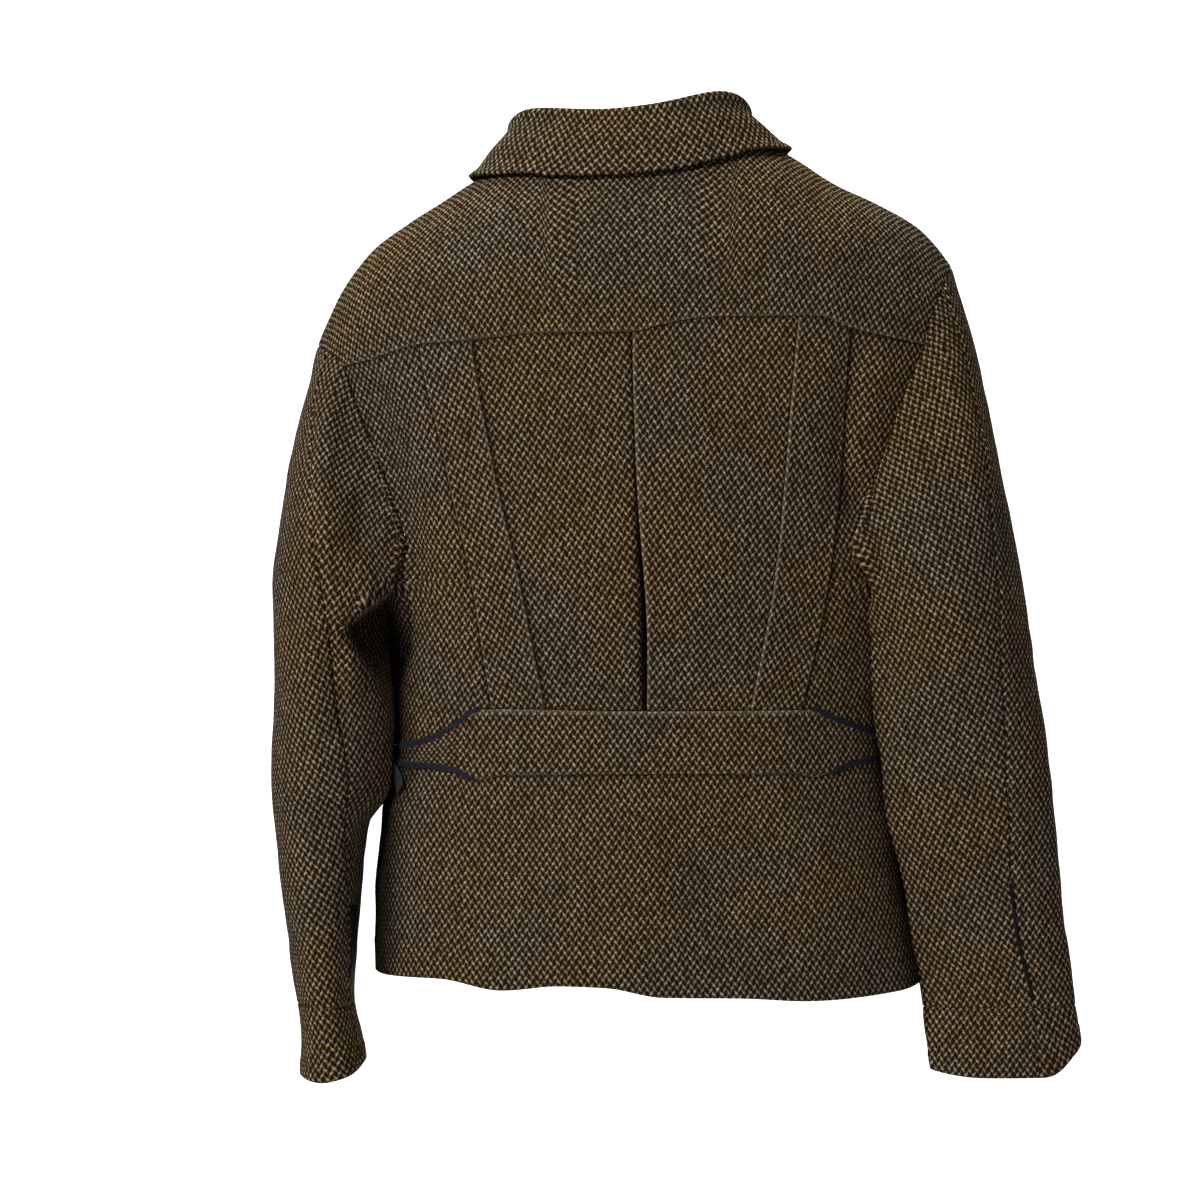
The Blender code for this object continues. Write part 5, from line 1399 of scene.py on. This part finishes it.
def tweed(name):
    net = Net(name)
    u, v = net.cloth_place()
    place = net.combine(u, v)
    space = net.node("ShaderNodeTexCoord", "Object")
    bend = net.parts(net.node("ShaderNodeTexNoise", "Color", [], Vector=place, Scale=420.0, Detail=2.0))
    x = net.calc("MULTIPLY_ADD", net.calc("SUBTRACT", bend[0], 0.5), 0.0013, u)
    y = net.calc("MULTIPLY_ADD", net.calc("SUBTRACT", bend[1], 0.5), 0.0011, v)
    flecks, tones = [], []
    for lattice, (dx, dy) in enumerate(((0.0, 0.0), (0.5, 0.5))):
        a = net.calc("ADD", net.calc("DIVIDE", x, FLECK_ACROSS), dx + 50)
        b = net.calc("ADD", net.calc("DIVIDE", y, 2 * FLECK_DOWN), dy + 50)
        cell = net.combine(net.calc("FLOOR", a), net.calc("FLOOR", b), float(lattice))
        chance = net.node("ShaderNodeTexWhiteNoise", "Color", [("noise_dimensions", "3D")], Vector=cell)
        luck = net.parts(chance)
        jx = net.calc("MULTIPLY_ADD", luck[0], 0.16, -0.58)
        jy = net.calc("MULTIPLY_ADD", luck[1], 0.10, -0.55)
        px = net.calc("MULTIPLY", net.calc("ADD", net.calc("FRACT", a), jx), FLECK_ACROSS / MM)
        py = net.calc("MULTIPLY", net.calc("ADD", net.calc("FRACT", b), jy), 2 * FLECK_DOWN / MM)
        shape = 0.0
        for lean, long, short, level in STROKES[lattice]:
            c, s = math.cos(math.radians(lean)), math.sin(math.radians(lean))
            l = net.calc("MULTIPLY_ADD", px, c / long, net.calc("MULTIPLY", py, s / long))
            w = net.calc("MULTIPLY_ADD", px, -s / short, net.calc("MULTIPLY", py, c / short))
            far = net.calc("SQRT", net.calc("MULTIPLY_ADD", l, l, net.calc("MULTIPLY", w, w)))
            shape = net.calc("MAXIMUM", shape, net.spread(far, 1.3, 0.15, level, "SMOOTHSTEP"))
        flecks.append(shape)
        tones.append(net.calc("MULTIPLY", shape, net.calc("MULTIPLY_ADD", luck[2], 0.5, 0.55)))
    height = net.calc("MAXIMUM", flecks[0], flecks[1])
    tone = net.calc("MAXIMUM", tones[0], tones[1])
    warm = net.noise(space, 9.0, 3.0, 0.6)
    warm = net.spread(warm, 0.38, 0.62)
    fibre = net.noise(place, 1500.0, 3.0, 0.7)
    patchy = net.noise(space, 30.0, 3.0, 0.6)
    light = net.calc("MULTIPLY", tone, net.calc("MULTIPLY_ADD", fibre, 1.5, 0.25))
    light = net.calc("MULTIPLY", light, net.calc("MULTIPLY_ADD", patchy, 0.6, 0.7))
    # painted highlight: flecks brighter and warmer along raised seam edges
    worn = net.attribute("ridge")
    light = net.calc("MULTIPLY", light, net.calc("MULTIPLY_ADD", worn, 0.5, 1.0))
    light = net.calc("MULTIPLY_ADD", net.calc("MULTIPLY", worn, fibre), 0.55, light)
    warm = net.calc("MAXIMUM", warm, worn)
    colour = net.mix(light, net.mix(warm, GROUND_GREY, GROUND_WARM), net.mix(warm, FLECK_GREY, FLECK_WARM))
    # painted shade: colour darkened towards near black
    colour = net.mix(net.attribute("hollow"), colour, (0.003, 0.002, 0.001, 1))
    net.paint(("Base Color", colour), ("Roughness", 1.0), ("Specular IOR Level", 0.0))
    rise = net.calc("ADD", height, net.calc("MULTIPLY", fibre, 0.35))
    net.bump(rise, 0.8, 0.0010)
    return net.made


def plain(name, colour, roughness, metallic=0.0, grain=0.0, scale=900.0, sheen=0.0, twill=0.0, shine=0.5):
    net = Net(name)
    space = net.node("ShaderNodeTexCoord", "Object")
    fine = net.noise(space, scale, 3.0, 0.6)
    dull = net.noise(space, 60.0, 3.0, 0.6)
    dark = tuple(c * 0.65 for c in colour) + (1,)
    light = tuple(min(1.0, c * 1.4) for c in colour) + (1,)
    share = net.calc("MULTIPLY_ADD", fine, 0.6, net.calc("MULTIPLY", dull, 0.4))
    rough = net.calc("MULTIPLY_ADD", dull, 0.2, roughness - 0.1)
    net.paint(("Base Color", net.mix(share, dark, light)), ("Roughness", rough), ("Metallic", metallic))
    net.paint(("Sheen Weight", sheen), ("Specular IOR Level", shine))
    rise = fine
    if twill:
        u, v = net.cloth_place()
        wave = net.calc("SINE", net.calc("MULTIPLY", net.calc("ADD", u, v), 2 * math.pi / twill))
        rise = net.calc("ADD", net.calc("MULTIPLY", wave, 0.5), fine)
    net.bump(rise, grain, 0.0003)
    return net.made


MATERIALS = {
    "tweed": tweed("tweed"),
    "lining": plain("lining", (0.10, 0.094, 0.082), 0.45, grain=0.15, sheen=0.1, twill=0.0008),
    "tape": plain("tape", (0.0055, 0.0062, 0.011), 0.75, grain=0.5, twill=0.0011, shine=0.15),
    "strap": plain("strap", (0.014, 0.016, 0.014), 0.8, grain=0.5, twill=0.0012, shine=0.15),
    "facing": plain("facing", (0.003, 0.003, 0.0035), 0.8, grain=0.3, twill=0.001, shine=0.1),
    "metal": plain("metal", (0.62, 0.61, 0.58), 0.3, 1.0, grain=0.08),
    "button": plain("button", (0.028, 0.017, 0.010), 0.3, grain=0.05, scale=300.0),
    "thread": plain("thread", (0.05, 0.035, 0.02), 0.8, grain=0.3),
}

# ---- building ------------------------------------------------------------------------------------
FRONTS = {1: front_grid(1), -1: front_grid(-1)}
make_back()
yoke_grid = make_yoke()
for side, word in SIDES:
    welt = welt_along(FRONTS[side], "first_column", 0.5, 8)
    welt += welt_along(FRONTS[side], "last_row", 0.4, 9 if side > 0 else 24)
    patch(f"front_{word}", FRONTS[side], welt=welt)
SLEEVES = make_sleeves(yoke_grid)
make_collar(yoke_grid)
make_tapes()
make_straps()
make_vents()
make_lining_strip()
make_buttons()


def cell_normals(grid):
    """Across each cell of a grid, twice its area long."""
    return np.cross(grid[1:, 1:] - grid[:-1, :-1], grid[1:, :-1] - grid[:-1, 1:])


def faces_in(entry):
    """Whether a patch's points run so that its normal faces into the jacket."""
    grid, name = entry["grid"], entry["name"]
    middle = (grid[1:, 1:] + grid[:-1, :-1]) / 2
    if name.startswith(("top_sleeve", "under_sleeve", "cuff", "vent")):
        at = sleeve_at[1 if name.endswith("left") else -1]
        core = np.array([[[at["x"](p[2]), at["y"](p[2]), p[2]] for p in line] for line in middle])
        away = (middle - core) * (middle[..., 2] < SLEEVE_TOP)[..., None]
    elif name == "collar":
        away = middle * [1, 1, 0] + [0, 0, 40]
        away[len(away) // 3 :] = 0
    else:
        away = middle - [0, 0, -130 if name == "back_yoke" else -250]
    return float((cell_normals(grid) * entry["keep"][..., None] * away).sum()) < 0


SHARED_NORMALS = {}
for entry in PATCHES:
    if faces_in(entry):
        for part in ("grid", "keep") + MARKS:
            entry[part] = entry[part][:, ::-1]
    if entry["shared"]:
        flat, normals = entry["grid"].reshape(-1, 3), grid_normals(entry["grid"], entry["keep"]).reshape(-1, 3)
        for k in {k for pair in rim_of(entry["keep"]) for k in pair}:
            SHARED_NORMALS[key_of(flat[k])] = SHARED_NORMALS.get(key_of(flat[k]), 0) + normals[k]

for entry in PATCHES:
    entry["piece"] = build_wall(entry, SHARED_NORMALS)
    finish_piece(entry["piece"], entry["name"], kind_of(entry["name"])[2])
    sizes = np.linalg.norm(cell_normals(entry["grid"]), axis=2) / 2
    entry["area"] = round(float((sizes * entry["keep"]).sum()) / 1e6, 4)  # square metres


def flat_size(piece):
    """The width and length of a panel with its grain laid flat, in metres."""
    layer = piece.data.uv_layers["grain"].data
    places = np.empty(2 * len(layer), np.float32)
    layer.foreach_get("uv", places)
    across, down = np.ptp(places.reshape(-1, 2), axis=0)
    return round(float(across), 3), round(float(down), 3)


for entry in PATCHES:
    name = entry["name"]
    if name.startswith(("tape", "vent")):
        continue  # too narrow to be a sheet
    width, length = flat_size(entry["piece"])
    if name.startswith("strap"):
        width, length = length, width

# ---- stage, light and camera ---------------------------------------------------------------------
AIM = (0.030, 0.06, -0.330)
DISTANCE, ACROSS_VIEW, RISE = 4.5, 0.9, 0.118


def backdrop():
    """A pale floor that sweeps up behind the jacket."""
    turns = [math.radians(a) for a in range(0, 91, 10)]
    sweep = [(-1.2 - math.sin(a), -0.4 - math.cos(a)) for a in turns]
    profile = [(6.0, -1.4), (-1.2, -1.4)] + sweep + [(-2.2, 4.0)]
    points = [(x, y, z) for y, z in profile for x in (-6, 6)]
    faces = [(2 * k, 2 * k + 1, 2 * k + 3, 2 * k + 2) for k in range(len(profile) - 1)]
    mesh = bpy.data.meshes.new("backdrop")
    mesh.from_pydata(points, [], faces)
    mesh.polygons.foreach_set("use_smooth", [True] * len(faces))
    paper = bpy.data.materials.new("backdrop")
    paper.use_nodes = True
    shader = paper.node_tree.nodes["Principled BSDF"]
    shader.inputs["Base Color"].default_value = (0.88, 0.88, 0.88, 1)
    shader.inputs["Roughness"].default_value = 0.95
    mesh.materials.append(paper)
    thing = bpy.data.objects.new("backdrop", mesh)
    bpy.context.scene.collection.objects.link(thing)


def lamp(name, place, aim, size, power, colour=(1, 1, 1)):
    light = bpy.data.lights.new(name, "AREA")
    light.shape, light.size, light.energy, light.color = "DISK", size, power, colour
    thing = bpy.data.objects.new(name, light)
    thing.location = place
    thing.rotation_euler = (Vector(aim) - Vector(place)).to_track_quat("-Z", "Y").to_euler()
    bpy.context.scene.collection.objects.link(thing)


backdrop()
lamp("key", (2.2, 2.8, 2.2), (0, 0, -0.3), 0.9, 222, (1.0, 0.98, 0.95))
lamp("fill", (-0.9, 3.8, 0.3), (0, 0, -0.3), 1.4, 20, (0.97, 0.98, 1.0))
lamp("screen", (0.0, -0.9, 1.8), (0, -2.2, -0.2), 2.4, 110)

world = bpy.data.worlds.new("studio")
world.use_nodes = True
world.node_tree.nodes["Background"].inputs[0].default_value = (1, 1, 1, 1)
world.node_tree.nodes["Background"].inputs[1].default_value = 0.12
bpy.context.scene.world = world
bpy.context.scene.view_settings.view_transform = "Standard"

lens = bpy.data.cameras.new("camera")
lens.sensor_width = 36
lens.angle = 2 * math.atan(ACROSS_VIEW / 2 / DISTANCE)
camera = bpy.data.objects.new("camera", lens)
camera.location = (AIM[0], AIM[1] + DISTANCE, AIM[2] + RISE)
camera.rotation_euler = (Vector(AIM) - camera.location).to_track_quat("-Z", "Y").to_euler()
bpy.context.scene.collection.objects.link(camera)
bpy.context.scene.camera = camera
